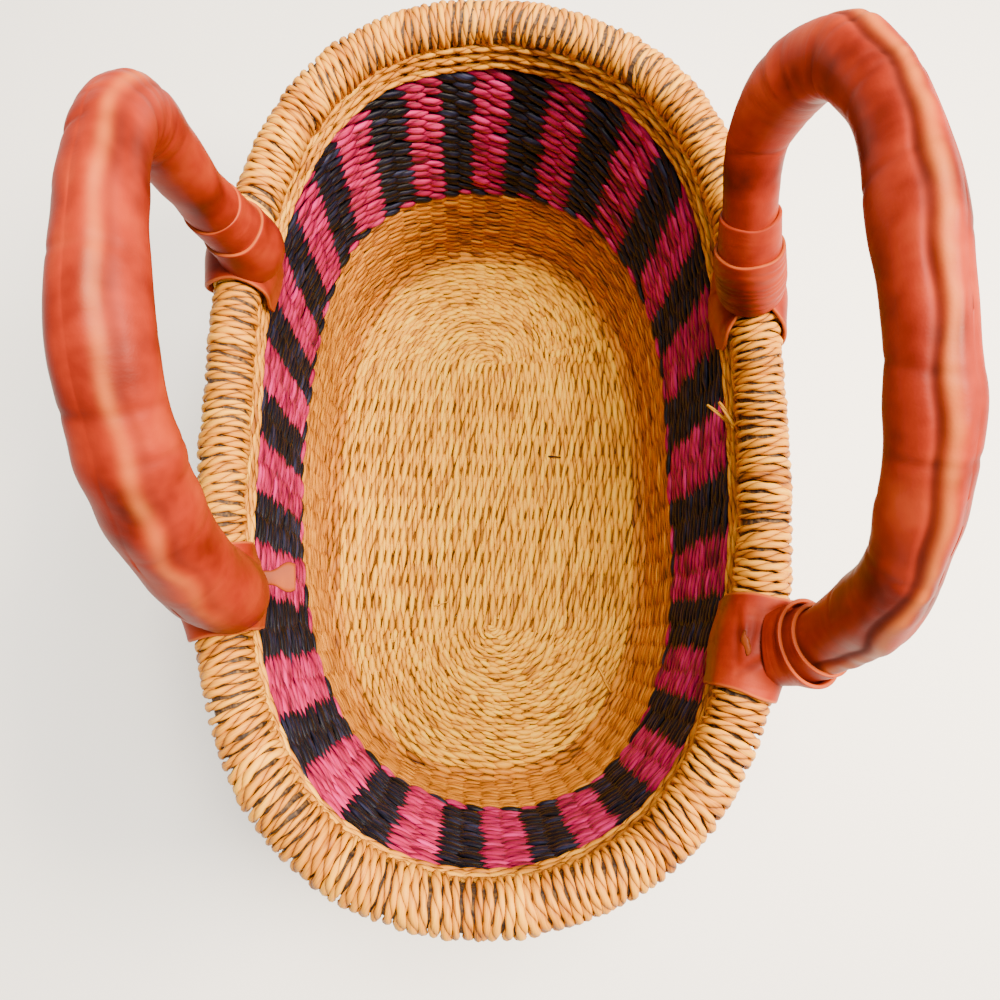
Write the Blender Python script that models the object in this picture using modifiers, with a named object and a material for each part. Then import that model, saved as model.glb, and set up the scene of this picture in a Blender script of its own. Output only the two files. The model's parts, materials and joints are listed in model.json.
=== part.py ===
"""Oval market basket of twined straw with two hinged leather arch handles.

Metres, +Z up, +X to the right side, +Y to the far end. The flat underside rests on Z = 0 and
its middle is the origin. Every ring of the body is lofted through oval sections that share
their corners, because the oval is a little longer at the rim than at the floor.
"""

from math import acos, atan2, cos, degrees, floor, hypot, radians, sin, tau

import bmesh
import bpy
from mathutils import Matrix, Vector

MM = 0.001

# Body: half sizes of the wall's inner face at the rim, how much smaller they are at the floor,
# and the heights of the rows
HALF_WIDTH = 92.8 * MM
HALF_LENGTH = 161.8 * MM
WIDTH_TAPER = 0.7 * MM
LENGTH_TAPER = 4.9 * MM
OVAL_POWER = 2.6
FLOOR_THICKNESS = 5.0 * MM
WALL_THICKNESS = 5.0 * MM
BORDER_BOTTOM = 68.0 * MM
BORDER_HEIGHT = 5.0 * MM
BAND_HEIGHT = 82.0 * MM
ROPE_PITCH = 5.0 * MM
BAND_BOTTOM = BORDER_BOTTOM + BORDER_HEIGHT
ROPE_BOTTOM = BAND_BOTTOM + BAND_HEIGHT
STATIONS = 60

# How far the hand-woven wall stands outside the even oval, anticlockwise from the right side
# in equal turns, at the rim and at the border row, as shares of one unevenness; the floor
# keeps the even oval
UNEVENNESS = 1.0 * MM
RIM_UNEVENNESS_SHARES = (-0.9, -0.3, 0.4, -2.3, -0.6, -1.8, -0.5, 0.2,
                         -0.5, 1.0, 2.0, 0.3, 1.3, -2.4, -2.8, -1.6)
BORDER_UNEVENNESS_SHARES = (-2.4, -1.0, -2.0, -4.2, -2.8, -1.8, 2.2, 0.5,
                            1.2, -0.6, -3.8, -4.6, 0.0, -0.2, 0.6, 0.2)

# Clearance between neighbours, and how far twisted rows stand proud of the wall
GAP = 0.3 * MM
ROW_BULGE = 0.5 * MM
BORDER_BULGE = 0.6 * MM
CORNER_RADIUS = 6.0 * MM
CORNER_STEPS = 3

# Rim roll: a core of bent-over stake ends inside a wound shell. It rests on the middle rope
# row, and its middle line hangs outside the wall. The tongue's two sides stand inward of that
# line by shares of the shell's inner radius.
ROLL_RADIUS = 9.7 * MM
ROLL_OVERHANG = 2.7 * MM
WRAP_THICKNESS = 1.8 * MM
ROLL_STEPS = 11
TONGUE_SIDE_SHARES = (0.77, 0.38)
ROLL_OUTSET = WALL_THICKNESS + ROLL_OVERHANG
ROLL_HEIGHT = ROPE_BOTTOM + 2 * ROPE_PITCH + GAP + ROLL_RADIUS
TONGUE_INSIDE, TONGUE_OUTSIDE = (
    ROLL_OUTSET - (ROLL_RADIUS - WRAP_THICKNESS) * share for share in TONGUE_SIDE_SHARES)

# Leather
LEATHER = 1.5 * MM
SADDLE_STEPS = 14
CUFF_LIFT = 0.7 * MM
LEG_CLEARANCE = 0.4 * MM
LEG_CUT_REACH = 19.0 * MM
LEG_CUT_SAMPLES = 12
ROUTE_STEPS_PER_SPAN = 2
SLEEVE_BEVEL_RESOLUTION = 5

# Where the hinge lines cross the rim, as distances from the middle of the basket's length,
# and how thick the folded leather is there
RIGHT_FAR_FOOT = 48.0 * MM
RIGHT_NEAR_FOOT = 85.0 * MM
LEFT_FAR_FOOT = 60.0 * MM
LEFT_NEAR_FOOT = 67.0 * MM
FAR_FOLD = 3.8 * MM
RIGHT_NEAR_FOLD = 3.6 * MM
LEFT_NEAR_FOLD = 5.0 * MM

# Each saddle: its distance along the basket, whether it is on the right side, its thickness,
# its reach toward the near and far end, and the depth of the notch in those two edges
SADDLES = {
    "right_far": (RIGHT_FAR_FOOT, True, FAR_FOLD, (18.0 * MM, 16.0 * MM), (9.0 * MM, 3.0 * MM)),
    "right_near": (-RIGHT_NEAR_FOOT, True, RIGHT_NEAR_FOLD, (17.0 * MM, 17.0 * MM), (0.0, 0.0)),
    "left_far": (LEFT_FAR_FOOT, False, FAR_FOLD, (15.5 * MM, 14.0 * MM), (6.0 * MM, 3.0 * MM)),
    "left_near": (
        -LEFT_NEAR_FOOT, False, LEFT_NEAR_FOLD, (15.0 * MM, 17.0 * MM), (1.5 * MM, 1.5 * MM)),
}

# Leather bands round the legs: name, which foot, distances along the leg, thickness
RIGHT_CUFFS = (
    ("near_lower_collar", "near", 0.0, 22.0 * MM, 1.9 * MM),
    ("near_upper_collar", "near", 22.0 * MM, 29.0 * MM, 1.3 * MM),
    ("far_lower_cuff", "far", 0.0, 32.0 * MM, 1.9 * MM),
    ("far_upper_cuff", "far", 32.0 * MM, 45.0 * MM, 1.3 * MM),
)
LEFT_CUFFS = (
    ("far_lower_cuff", "far", 0.0, 27.0 * MM, 1.9 * MM),
    ("far_upper_cuff", "far", 27.0 * MM, 41.0 * MM, 1.3 * MM),
)

# Ends of the leather ties: size across, along the rim and away from the roll's middle, angle
# round the roll from its outward side, and for the left one a shift in stations
RIGHT_TIE_SIZE = (5.0 * MM, 3.0 * MM, 1.2 * MM)
RIGHT_TIE_ANGLE = 128.0
LEFT_TIE_SIZE = (1.3 * MM, 12.0 * MM, 12.0 * MM)
LEFT_TIE_ANGLE = 214.0
LEFT_TIE_SHIFT = -0.28

# Handles: height of the arch above the hinge line and radius of the leather tube. A route's
# rows are shares: along the span from near foot to far foot, lean outward and rise as shares
# of the arch's height, and the tube's radius as a share of its usual radius.
RIGHT_RISE = 114.5 * MM
RIGHT_RADIUS = 10.6 * MM
RIGHT_ROUTE_SHARES = (
    (0.000, 0.000, 0.000, 1.04),
    (0.004, 0.080, 0.085, 1.04),
    (0.018, 0.126, 0.190, 1.04),
    (0.055, 0.140, 0.350, 1.08),
    (0.110, 0.126, 0.570, 1.05),
    (0.200, 0.106, 0.722, 1.00),
    (0.353, 0.067, 0.882, 1.02),
    (0.516, 0.026, 0.961, 0.95),
    (0.700, -0.004, 1.000, 1.00),
    (0.895, -0.022, 0.985, 0.98),
    (1.060, -0.045, 0.932, 0.96),
    (1.180, -0.088, 0.850, 1.01),
    (1.225, -0.140, 0.700, 1.06),
    (1.190, -0.163, 0.530, 0.92),
    (1.110, -0.138, 0.400, 0.87),
    (1.035, -0.092, 0.250, 0.95),
    (1.008, -0.042, 0.120, 1.00),
    (1.000, 0.000, 0.000, 1.00),
)
LEFT_RISE = 104.0 * MM
LEFT_RADIUS = 11.6 * MM
LEFT_ROUTE_SHARES = (
    (0.000, 0.000, 0.000, 1.22),
    (-0.004, -0.055, 0.110, 1.24),
    (0.004, -0.062, 0.230, 1.23),
    (0.030, -0.048, 0.380, 1.19),
    (0.084, -0.035, 0.558, 1.14),
    (0.160, -0.025, 0.720, 1.11),
    (0.290, -0.010, 0.875, 1.07),
    (0.430, 0.006, 0.968, 1.04),
    (0.590, 0.016, 1.000, 0.96),
    (0.764, 0.026, 0.990, 0.91),
    (0.890, 0.034, 0.940, 0.88),
    (0.966, 0.033, 0.850, 0.91),
    (0.990, 0.026, 0.700, 0.87),
    (0.993, 0.014, 0.520, 0.83),
    (0.994, -0.008, 0.360, 0.77),
    (0.996, -0.044, 0.200, 0.81),
    (0.999, -0.052, 0.095, 0.90),
    (1.000, 0.000, 0.000, 0.90),
)

# Colours of the finishes, as linear red, green and blue
STRAW = (0.70, 0.50, 0.22)
STRAW_FLOOR = (0.62, 0.42, 0.16)
DYED = (0.30, 0.04, 0.12)
BORDER = (0.20, 0.03, 0.09)
LEATHER_COLOUR = (0.60, 0.15, 0.08)
TAN = (0.62, 0.36, 0.18)
CORE_COLOUR = (0.50, 0.38, 0.20)


def clear_scene():
    for item in list(bpy.data.objects):
        bpy.data.objects.remove(item, do_unlink=True)


def finish(name, colour, roughness):
    material = bpy.data.materials.new(name)
    material.use_nodes = True
    shader = material.node_tree.nodes["Principled BSDF"]
    shader.inputs["Base Color"].default_value = (*colour, 1.0)
    shader.inputs["Roughness"].default_value = roughness
    shader.inputs["Metallic"].default_value = 0.0
    return material


def place(item, collection, material=None, parent=None):
    """Link an object, give it its finish, and hang it on its parent without moving it."""
    collection.objects.link(item)
    if material is not None:
        item.data.materials.clear()
        item.data.materials.append(material)
    if parent is not None:
        item.parent = parent
        item.matrix_parent_inverse = parent.matrix_world.inverted()
    return item


def half_sizes(height):
    share = min(max((height - FLOOR_THICKNESS) / (ROPE_BOTTOM - FLOOR_THICKNESS), 0.0), 1.0)
    return HALF_WIDTH - WIDTH_TAPER * (1 - share), HALF_LENGTH - LENGTH_TAPER * (1 - share)


def smooth_weights(share):
    """Weights of four neighbours for a smooth value a share of the way between the middle two."""
    return (
        -0.5 * share + share ** 2 - 0.5 * share ** 3,
        1 - 2.5 * share ** 2 + 1.5 * share ** 3,
        0.5 * share + 2 * share ** 2 - 1.5 * share ** 3,
        -0.5 * share ** 2 + 0.5 * share ** 3,
    )


def unevenness(index, height):
    """How far the hand-woven wall stands outside the even oval at a station and a height."""
    count = len(RIM_UNEVENNESS_SHARES)
    position = (index / STATIONS) % 1.0 * count
    first = floor(position) - 1
    weights = smooth_weights(position - first - 1)

    def smooth(table):
        return UNEVENNESS * sum(
            weight * table[(first + step) % count] for step, weight in enumerate(weights))

    if height <= BAND_BOTTOM:
        return smooth(BORDER_UNEVENNESS_SHARES) * max(height - FLOOR_THICKNESS, 0.0) / (
            BAND_BOTTOM - FLOOR_THICKNESS)
    share = min((height - BAND_BOTTOM) / (ROPE_BOTTOM - BAND_BOTTOM), 1.0)
    return smooth(BORDER_UNEVENNESS_SHARES) * (1 - share) + smooth(RIM_UNEVENNESS_SHARES) * share


def corner(index, outset, height):
    """Corner of the oval at a whole station, moved outward along the oval's normal."""
    turn = tau * index / STATIONS
    outset += unevenness(index, height)
    width, length = half_sizes(height)
    scale = (abs(cos(turn)) ** OVAL_POWER + abs(sin(turn)) ** OVAL_POWER) ** (-1 / OVAL_POWER)
    east, north = scale * cos(turn), scale * sin(turn)
    slope_east = (abs(east) ** (OVAL_POWER - 1)) * (1 if east >= 0 else -1) / width
    slope_north = (abs(north) ** (OVAL_POWER - 1)) * (1 if north >= 0 else -1) / length
    reach = outset / hypot(slope_east, slope_north)
    return Vector((width * east + slope_east * reach, length * north + slope_north * reach, height))


def oval_point(station, outset, height):
    """Point of the oval: between whole stations it lies on the straight run of every ring."""
    before = floor(station)
    start, end = corner(before, outset, height), corner(before + 1, outset, height)
    return start.lerp(end, station - before)


def station_at(distance, right_side):
    """Station where the rim roll's middle line is that far along the basket."""
    low, high = (-STATIONS / 4, STATIONS / 4) if right_side else (3 * STATIONS / 4, STATIONS / 4)
    for _ in range(50):
        middle = (low + high) / 2
        if oval_point(middle, ROLL_OUTSET, ROLL_HEIGHT).y < distance:
            low = middle
        else:
            high = middle
    return (low + high) / 2


def arc(outset, height, radius, start, stop, steps):
    """Points on a circle in the section plane, both ends counted; angles in degrees."""
    angles = [radians(start + (stop - start) * step / steps) for step in range(steps + 1)]
    return [(outset + radius * cos(angle), height + radius * sin(angle)) for angle in angles]


def loft(name, rows, closed):
    """Closed body through rows of points: one loop of rows, or rows with a face on each end."""
    mesh = bpy.data.meshes.new(name)
    body = bmesh.new()
    grid = [[body.verts.new(point) for point in row] for row in rows]
    count = len(rows[0])
    for row in range(len(rows) if closed else len(rows) - 1):
        here, following = grid[row], grid[(row + 1) % len(rows)]
        for step in range(count):
            after = (step + 1) % count
            body.faces.new((here[step], here[after], following[after], following[step]))
    if not closed:
        body.faces.new(grid[0])
        body.faces.new(grid[-1])
    bmesh.ops.recalc_face_normals(body, faces=body.faces[:])
    body.to_mesh(mesh)
    body.free()
    mesh.shade_smooth()
    mesh.set_sharp_from_angle(angle=radians(35))
    return bpy.data.objects.new(name, mesh)


def ring(name, section):
    """Ring round the whole basket from one section of outsets and heights."""
    rows = [[oval_point(station, *point) for point in section] for station in range(STATIONS)]
    return loft(name, rows, True)


def row_section(bottom, top, bulge):
    """Section of one twisted row: flat where rows meet, proud of the wall on both faces."""
    low, high = bottom + GAP / 2, top - GAP / 2
    middle = (bottom + top) / 2
    return [
        (-bulge, middle), (bulge, low), (WALL_THICKNESS - bulge, low),
        (WALL_THICKNESS + bulge, middle), (WALL_THICKNESS - bulge, high), (bulge, high),
    ]


def slot_angles(radius, inside, outside):
    """Angles, in degrees, where a circle round the roll's middle meets the slot's two sides."""
    right = -degrees(acos((outside - ROLL_OUTSET) / radius))
    left = 360.0 - degrees(acos((inside - ROLL_OUTSET) / radius))
    return right, left


def roll_shell(inner, outer, slot_inside, slot_outside, steps):
    """C-shaped section round the roll, open below where the wall comes up."""
    outer_start, outer_stop = slot_angles(outer, slot_inside, slot_outside)
    inner_start, inner_stop = slot_angles(inner, slot_inside, slot_outside)
    section = arc(ROLL_OUTSET, ROLL_HEIGHT, outer, outer_start, outer_stop, steps)
    return section + arc(ROLL_OUTSET, ROLL_HEIGHT, inner, inner_stop, inner_start, steps)


def below_roll(radius, outset):
    """Height of the lower side of a circle round the roll's middle, at an outset."""
    return ROLL_HEIGHT - (radius ** 2 - (outset - ROLL_OUTSET) ** 2) ** 0.5


def build_floor(material, collection):
    outline = bpy.data.curves.new("floor_weave", "CURVE")
    outline.dimensions = "2D"
    outline.fill_mode = "BOTH"
    outline.extrude = FLOOR_THICKNESS / 2
    spline = outline.splines.new("POLY")
    spline.points.add(STATIONS - 1)
    for station in range(STATIONS):
        edge = oval_point(station, -CORNER_RADIUS - GAP, 0.0)
        spline.points[station].co = (edge.x, edge.y, 0.0, 1.0)
    spline.use_cyclic_u = True
    item = bpy.data.objects.new("floor_weave", outline)
    item.location.z = FLOOR_THICKNESS / 2
    return place(item, collection, material)


def build_body(collection):
    straw = finish("natural_straw", STRAW, 0.6)
    floor_straw = finish("floor_straw", STRAW_FLOOR, 0.6)
    dyed = finish("dyed_straw", DYED, 0.55)
    border = finish("twisted_dyed_straw", BORDER, 0.55)
    ends = finish("bundled_straw_ends", CORE_COLOUR, 0.8)
    build_floor(floor_straw, collection)

    # Lower wall: an L-shaped section whose foot turns in under the floor's edge
    bend = FLOOR_THICKNESS + CORNER_RADIUS
    outer = arc(-CORNER_RADIUS, bend, CORNER_RADIUS + FLOOR_THICKNESS, 0, -90, CORNER_STEPS)
    inner = arc(-CORNER_RADIUS, bend, CORNER_RADIUS, -90, 0, CORNER_STEPS)
    top = BORDER_BOTTOM - GAP / 2
    section = [(WALL_THICKNESS, top)] + outer + inner + [(0.0, top)]
    place(ring("lower_wall", section), collection, floor_straw)

    section = row_section(BORDER_BOTTOM, BAND_BOTTOM, BORDER_BULGE)
    place(ring("border_row", section), collection, border)

    low, high = BAND_BOTTOM + GAP / 2, ROPE_BOTTOM - GAP / 2
    section = [(0.0, low), (WALL_THICKNESS, low), (WALL_THICKNESS, high), (0.0, high)]
    place(ring("dyed_band", section), collection, dyed)

    for number, name in enumerate(("rope_row_lower", "rope_row_middle")):
        bottom = ROPE_BOTTOM + number * ROPE_PITCH
        section = row_section(bottom, bottom + ROPE_PITCH, ROW_BULGE)
        place(ring(name, section), collection, straw)

    # Upper row: a wedge between the middle row and the roll, flush outside with its tongue,
    # which stands in the wrap's slot and carries the core
    low = ROPE_BOTTOM + 2 * ROPE_PITCH + GAP / 2
    clear_of_wrap = ROLL_RADIUS + GAP
    core_radius = ROLL_RADIUS - WRAP_THICKNESS - GAP
    seat = core_radius + GAP
    middle = (TONGUE_INSIDE + TONGUE_OUTSIDE) / 2
    section = [
        (-ROW_BULGE, low + ROPE_PITCH / 3), (ROW_BULGE, low), (TONGUE_OUTSIDE, low),
        (TONGUE_OUTSIDE, below_roll(seat, TONGUE_OUTSIDE)),
        (middle, below_roll(seat, middle)), (TONGUE_INSIDE, below_roll(seat, TONGUE_INSIDE)),
        (TONGUE_INSIDE, below_roll(clear_of_wrap, TONGUE_INSIDE)),
        (-ROW_BULGE, below_roll(clear_of_wrap, -ROW_BULGE) - GAP),
    ]
    place(ring("rope_row_upper", section), collection, straw)

    slot_inside, slot_outside = TONGUE_INSIDE - GAP, TONGUE_OUTSIDE + GAP
    shell_inner = ROLL_RADIUS - WRAP_THICKNESS
    section = roll_shell(shell_inner, ROLL_RADIUS, slot_inside, slot_outside, ROLL_STEPS)
    place(ring("rim_wrap", section), collection, straw)

    # The core has its corners at the shell's own angles, so the gap is even all round
    start, stop = slot_angles(shell_inner, slot_inside, slot_outside)
    section = arc(ROLL_OUTSET, ROLL_HEIGHT, core_radius, start, stop, ROLL_STEPS)
    section.append(arc(ROLL_OUTSET, ROLL_HEIGHT, core_radius, (start + stop + 360) / 2, 0, 1)[0])
    place(ring("rim_core", section), collection, ends)


def smooth_route(origin, along, outward, span, rise, radius, shares):
    """Points and radii of a handle's middle line, from Catmull-Rom spans through its rows."""
    rows = [
        (origin + along * (span * row[0]) + outward * (rise * row[1]) + Vector((0, 0, rise * row[2])),
         radius * row[3])
        for row in shares
    ]
    rows = [rows[0]] + rows + [rows[-1]]
    points, radii = [], []
    for start in range(len(rows) - 3):
        four = rows[start:start + 4]
        for step in range(ROUTE_STEPS_PER_SPAN):
            weights = smooth_weights(step / ROUTE_STEPS_PER_SPAN)
            points.append(sum((w * row[0] for w, row in zip(weights, four)), Vector()))
            radii.append(sum(w * row[1] for w, row in zip(weights, four)))
    return points + [rows[-2][0]], radii + [rows[-2][1]]


def middle_of_run(points, mark):
    """Distance along a route to the middle of the straight run that holds a mark."""
    travelled = 0.0
    for start, stop in zip(points, points[1:]):
        run = (stop - start).length
        if travelled <= mark <= travelled + run:
            return travelled + run / 2
        travelled += run
    return mark


def stretch(points, radii, start, stop):
    """The part of a route between two distances along it, with its ends on the same runs."""
    travelled, kept = 0.0, []
    for index in range(len(points) - 1):
        run = (points[index + 1] - points[index]).length
        if start <= travelled < stop:
            kept.append((points[index], radii[index]))
        for mark in (start, stop):
            if travelled < mark < travelled + run:
                share = (mark - travelled) / run
                spot = points[index].lerp(points[index + 1], share)
                kept.append((spot, radii[index] + (radii[index + 1] - radii[index]) * share))
        travelled += run
    return [spot for spot, _ in kept], [size for _, size in kept]


def tube(name, points, radii, capped):
    """Mesh tube from a bevelled curve, with its own radius at each point."""
    path = bpy.data.curves.new(name, "CURVE")
    path.dimensions = "3D"
    path.bevel_depth = 1.0
    path.bevel_resolution = SLEEVE_BEVEL_RESOLUTION
    path.use_fill_caps = capped
    spline = path.splines.new("POLY")
    spline.points.add(len(points) - 1)
    for slot, spot, size in zip(spline.points, points, radii):
        slot.co = (*spot, 1.0)
        slot.radius = size
    guide = bpy.data.objects.new(name + "_path", path)
    bpy.context.scene.collection.objects.link(guide)
    bpy.context.view_layer.update()
    mesh = bpy.data.meshes.new_from_object(guide.evaluated_get(bpy.context.evaluated_depsgraph_get()))
    body = bmesh.new()
    body.from_mesh(mesh)
    bmesh.ops.remove_doubles(body, verts=body.verts[:], dist=0.01 * MM)
    if capped:
        bmesh.ops.recalc_face_normals(body, faces=body.faces[:])
    body.to_mesh(mesh)
    body.free()
    mesh.name = name
    mesh.shade_smooth()
    mesh.set_sharp_from_angle(angle=radians(40))
    item = bpy.data.objects.new(name, mesh)
    item.matrix_world = guide.matrix_world
    bpy.data.objects.remove(guide, do_unlink=True)
    bpy.data.curves.remove(path)
    return item


def thicken(item, thickness, outward):
    wall = item.modifiers.new("wall", "SOLIDIFY")
    wall.thickness = thickness
    wall.offset = 1.0 if outward else -1.0
    wall.use_even_offset = True
    return item


def cut(item, cutter):
    step = item.modifiers.new("cut_" + cutter.name, "BOOLEAN")
    step.operation = "DIFFERENCE"
    step.solver = "EXACT"
    step.object = cutter


def saddle(name, station, radius, ends, notch, collection, material):
    """Leather end folded round the rim roll and down both faces of the wall.

    ends holds its reach toward the near and far end of the basket, and notch how far the
    middle of the near and far edge stands back from the flaps.
    """
    clear = ROLL_RADIUS + GAP
    section = roll_shell(
        clear, radius, -ROW_BULGE - GAP, WALL_THICKNESS + ROW_BULGE + GAP, SADDLE_STEPS)
    run = (corner(floor(station) + 1, ROLL_OUTSET, ROLL_HEIGHT)
           - corner(floor(station), ROLL_OUTSET, ROLL_HEIGHT))
    per_station = run.length
    toward_far = 1 if run.y > 0 else -1

    def edge(side):
        reach, depth = ends[side], notch[side]
        row = []
        for outset, height in section:
            lift = max(0.0, sin(atan2(height - ROLL_HEIGHT, outset - ROLL_OUTSET)))
            distance = reach - depth * lift ** 2
            row.append(station + (-1, 1)[side] * toward_far * distance / per_station)
        return row

    first, last = edge(0), edge(1)
    if toward_far < 0:
        first, last = last, first
    inner = [whole for whole in range(floor(min(first)), floor(max(last)) + 2)
             if max(first) < whole < min(last)]
    rows = [[oval_point(at, *point) for at, point in zip(first, section)]]
    rows += [[oval_point(whole, *point) for point in section] for whole in inner]
    rows += [[oval_point(at, *point) for at, point in zip(last, section)]]
    return place(loft(name, rows, False), collection, material)


def leg_cutter(name, foot, along, saddle_radius, collection):
    """Turned body round the hinge line that just clears the saddle at every angle."""
    profile = bmesh.new()
    right_side = foot.x > 0
    spots = []
    for sample in range(LEG_CUT_SAMPLES + 1):
        distance = LEG_CUT_REACH * (2 * sample / LEG_CUT_SAMPLES - 1)
        roll = oval_point(station_at(foot.y + distance, right_side), ROLL_OUTSET, ROLL_HEIGHT)
        across = (roll - foot) - along * (roll - foot).dot(along)
        spots.append((saddle_radius + LEG_CLEARANCE + across.length, (roll - foot).dot(along)))
    spots = [(0.0, spots[0][1])] + spots + [(0.0, spots[-1][1])]
    spots.reverse()
    corners = [profile.verts.new((size, 0.0, height)) for size, height in spots]
    for start, stop in zip(corners, corners[1:]):
        profile.edges.new((start, stop))
    mesh = bpy.data.meshes.new(name)
    profile.to_mesh(mesh)
    profile.free()
    item = bpy.data.objects.new(name, mesh)
    item.matrix_world = Matrix.Translation(foot) @ along.to_track_quat("Z", "Y").to_matrix().to_4x4()
    turned = item.modifiers.new("turned", "SCREW")
    turned.axis = "Z"
    turned.angle = tau
    turned.steps = turned.render_steps = 40
    turned.use_merge_vertices = True
    turned.merge_threshold = 0.00005
    item.display_type = "WIRE"
    item.hide_render = True
    collection.objects.link(item)
    return item


def handle(side, feet, saddle_radii, outward_sign, rise, radius, shares, cuffs,
           collection, cutters, finishes):
    """One arch handle on an empty whose Z axis is the hinge line."""
    near, far = feet
    span = (far - near).length
    along = (far - near).normalized()
    outward = Vector((along.y, -along.x, 0.0)) * outward_sign
    pivot = bpy.data.objects.new(side + "_handle_hinge", None)
    pivot.matrix_world = (
        Matrix.Translation(near) @ along.to_track_quat("Z", "Y").to_matrix().to_4x4())
    collection.objects.link(pivot)
    bpy.context.view_layer.update()

    points, radii = smooth_route(near, along, outward, span, rise, radius, shares)
    length = sum((b - a).length for a, b in zip(points, points[1:]))
    print(side, "handle: leather tube", round(length / MM), "mm along its middle line")
    ends = [leg_cutter(side + "_near_leg_cutter", near, along, saddle_radii[0], cutters),
            leg_cutter(side + "_far_leg_cutter", far, along, saddle_radii[1], cutters)]

    leather, core = finishes
    sleeve = tube(side + "_handle_sleeve", points, radii, False)
    thicken(sleeve, LEATHER, False)
    inner = [size - LEATHER - GAP for size in radii]
    filling = tube(side + "_handle_core", points, inner, True)
    pieces = [(sleeve, leather), (filling, core)]
    for name, foot_end, start, stop, thickness in cuffs:
        # Cuffs begin and end square to one straight run, so that neighbours stay parallel
        low, high = (start, stop) if foot_end == "near" else (length - stop, length - start)
        low = middle_of_run(points, low) + GAP if low > 0.0 else 0.0
        high = middle_of_run(points, high) - GAP if high < length else length - GAP
        spots, sizes = stretch(points, radii, low, high)
        cuff = tube(side + "_" + name, spots, [size + CUFF_LIFT for size in sizes], False)
        pieces.append((thicken(cuff, thickness, True), leather))
    for item, material in pieces:
        place(item, collection, material, pivot)
        for end in ends:
            cut(item, end)


def on_roll(station, angle, distance):
    """Frame beside the roll: Z points away from its middle, at an angle in degrees above level
    counted from the outward side, and Y runs along the rim."""
    middle = oval_point(station, ROLL_OUTSET, ROLL_HEIGHT)
    outward = (oval_point(station, ROLL_OUTSET, ROLL_HEIGHT)
               - oval_point(station, 0.0, ROLL_HEIGHT)).normalized()
    away = outward * cos(radians(angle)) + Vector((0, 0, 1)) * sin(radians(angle))
    rim = Vector((-outward.y, outward.x, 0.0))
    across = rim.cross(away)
    axes = Matrix((across, rim, away)).transposed().to_4x4()
    return Matrix.Translation(middle + away * distance) @ axes


def block(name, size, frame):
    """Box of a given size, centred on a frame."""
    bpy.ops.mesh.primitive_cube_add(size=1.0)
    item = bpy.context.object
    item.name = item.data.name = name
    for point in item.data.vertices:
        point.co = Vector([a * b for a, b in zip(point.co, size)])
    item.matrix_world = frame
    for other in list(item.users_collection):
        other.objects.unlink(item)
    return item


def tab(name, size, frame, collection, material):
    """Small flat end of a leather tie, with softened edges."""
    item = block(name, size, frame)
    soft = item.modifiers.new("soft_edges", "BEVEL")
    soft.width = 0.3 * MM
    soft.segments = 1
    return place(item, collection, material)


def main():
    clear_scene()
    parts = bpy.data.collections.new("basket")
    cutters = bpy.data.collections.new("cutters")
    bpy.context.scene.collection.children.link(parts)
    bpy.context.scene.collection.children.link(cutters)
    build_body(parts)

    leather = finish("cattle_leather", LEATHER_COLOUR, 0.5)
    tan = finish("tan_leather", TAN, 0.6)
    core = finish("grass_core", CORE_COLOUR, 0.9)

    feet, stations, saddles = {}, {}, {}
    radii = {}
    for name, (distance, right_side, fold, ends, notch) in SADDLES.items():
        stations[name] = station_at(distance, right_side)
        feet[name] = oval_point(stations[name], ROLL_OUTSET, ROLL_HEIGHT)
        radii[name] = ROLL_RADIUS + GAP + fold
        saddles[name] = saddle(
            name + "_saddle", stations[name], radii[name], ends, notch, parts, leather)

    # The tie's end on the right lies in a pocket of its saddle, the left one stands out below
    radius = radii["right_near"]
    frame = on_roll(stations["right_near"], RIGHT_TIE_ANGLE, radius - RIGHT_TIE_SIZE[2] / 2)
    tab("right_near_tie_end", RIGHT_TIE_SIZE, frame, parts, tan)
    pocket = block("tie_pocket", [size + 2 * GAP for size in RIGHT_TIE_SIZE], frame)
    pocket.hide_render = True
    pocket.display_type = "WIRE"
    cutters.objects.link(pocket)
    cut(saddles["right_near"], pocket)
    radius = radii["left_near"]
    frame = on_roll(stations["left_near"] + LEFT_TIE_SHIFT, LEFT_TIE_ANGLE,
                    radius + GAP + LEFT_TIE_SIZE[2] / 2)
    tab("left_near_tie_end", LEFT_TIE_SIZE, frame, parts, tan)

    handle("right", (feet["right_near"], feet["right_far"]),
           (radii["right_near"], radii["right_far"]), 1.0, RIGHT_RISE, RIGHT_RADIUS,
           RIGHT_ROUTE_SHARES, RIGHT_CUFFS, parts, cutters, (leather, core))
    handle("left", (feet["left_near"], feet["left_far"]),
           (radii["left_near"], radii["left_far"]), -1.0, LEFT_RISE, LEFT_RADIUS,
           LEFT_ROUTE_SHARES, LEFT_CUFFS, parts, cutters, (leather, core))


main()
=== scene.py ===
"""Dressed model of a small oval market basket of twined straw with two leather arch handles.

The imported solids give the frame. Every woven part is made again from its strands: pairs of
grass strands twist round each other between the stakes, three strands make each rope row
under the rim, and one long strand is wound round the rim roll. The leather is made from
tubes, shells and ribbons along the handles' own routes. Shapes are worked out in
millimetres, as whole arrays, and turned to metres when they become meshes.
"""

import json
import logging
from collections.abc import Callable, Sequence
from dataclasses import dataclass, field
from enum import Enum
from functools import partial

import bpy
import numpy as np
from mathutils import Matrix

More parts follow.
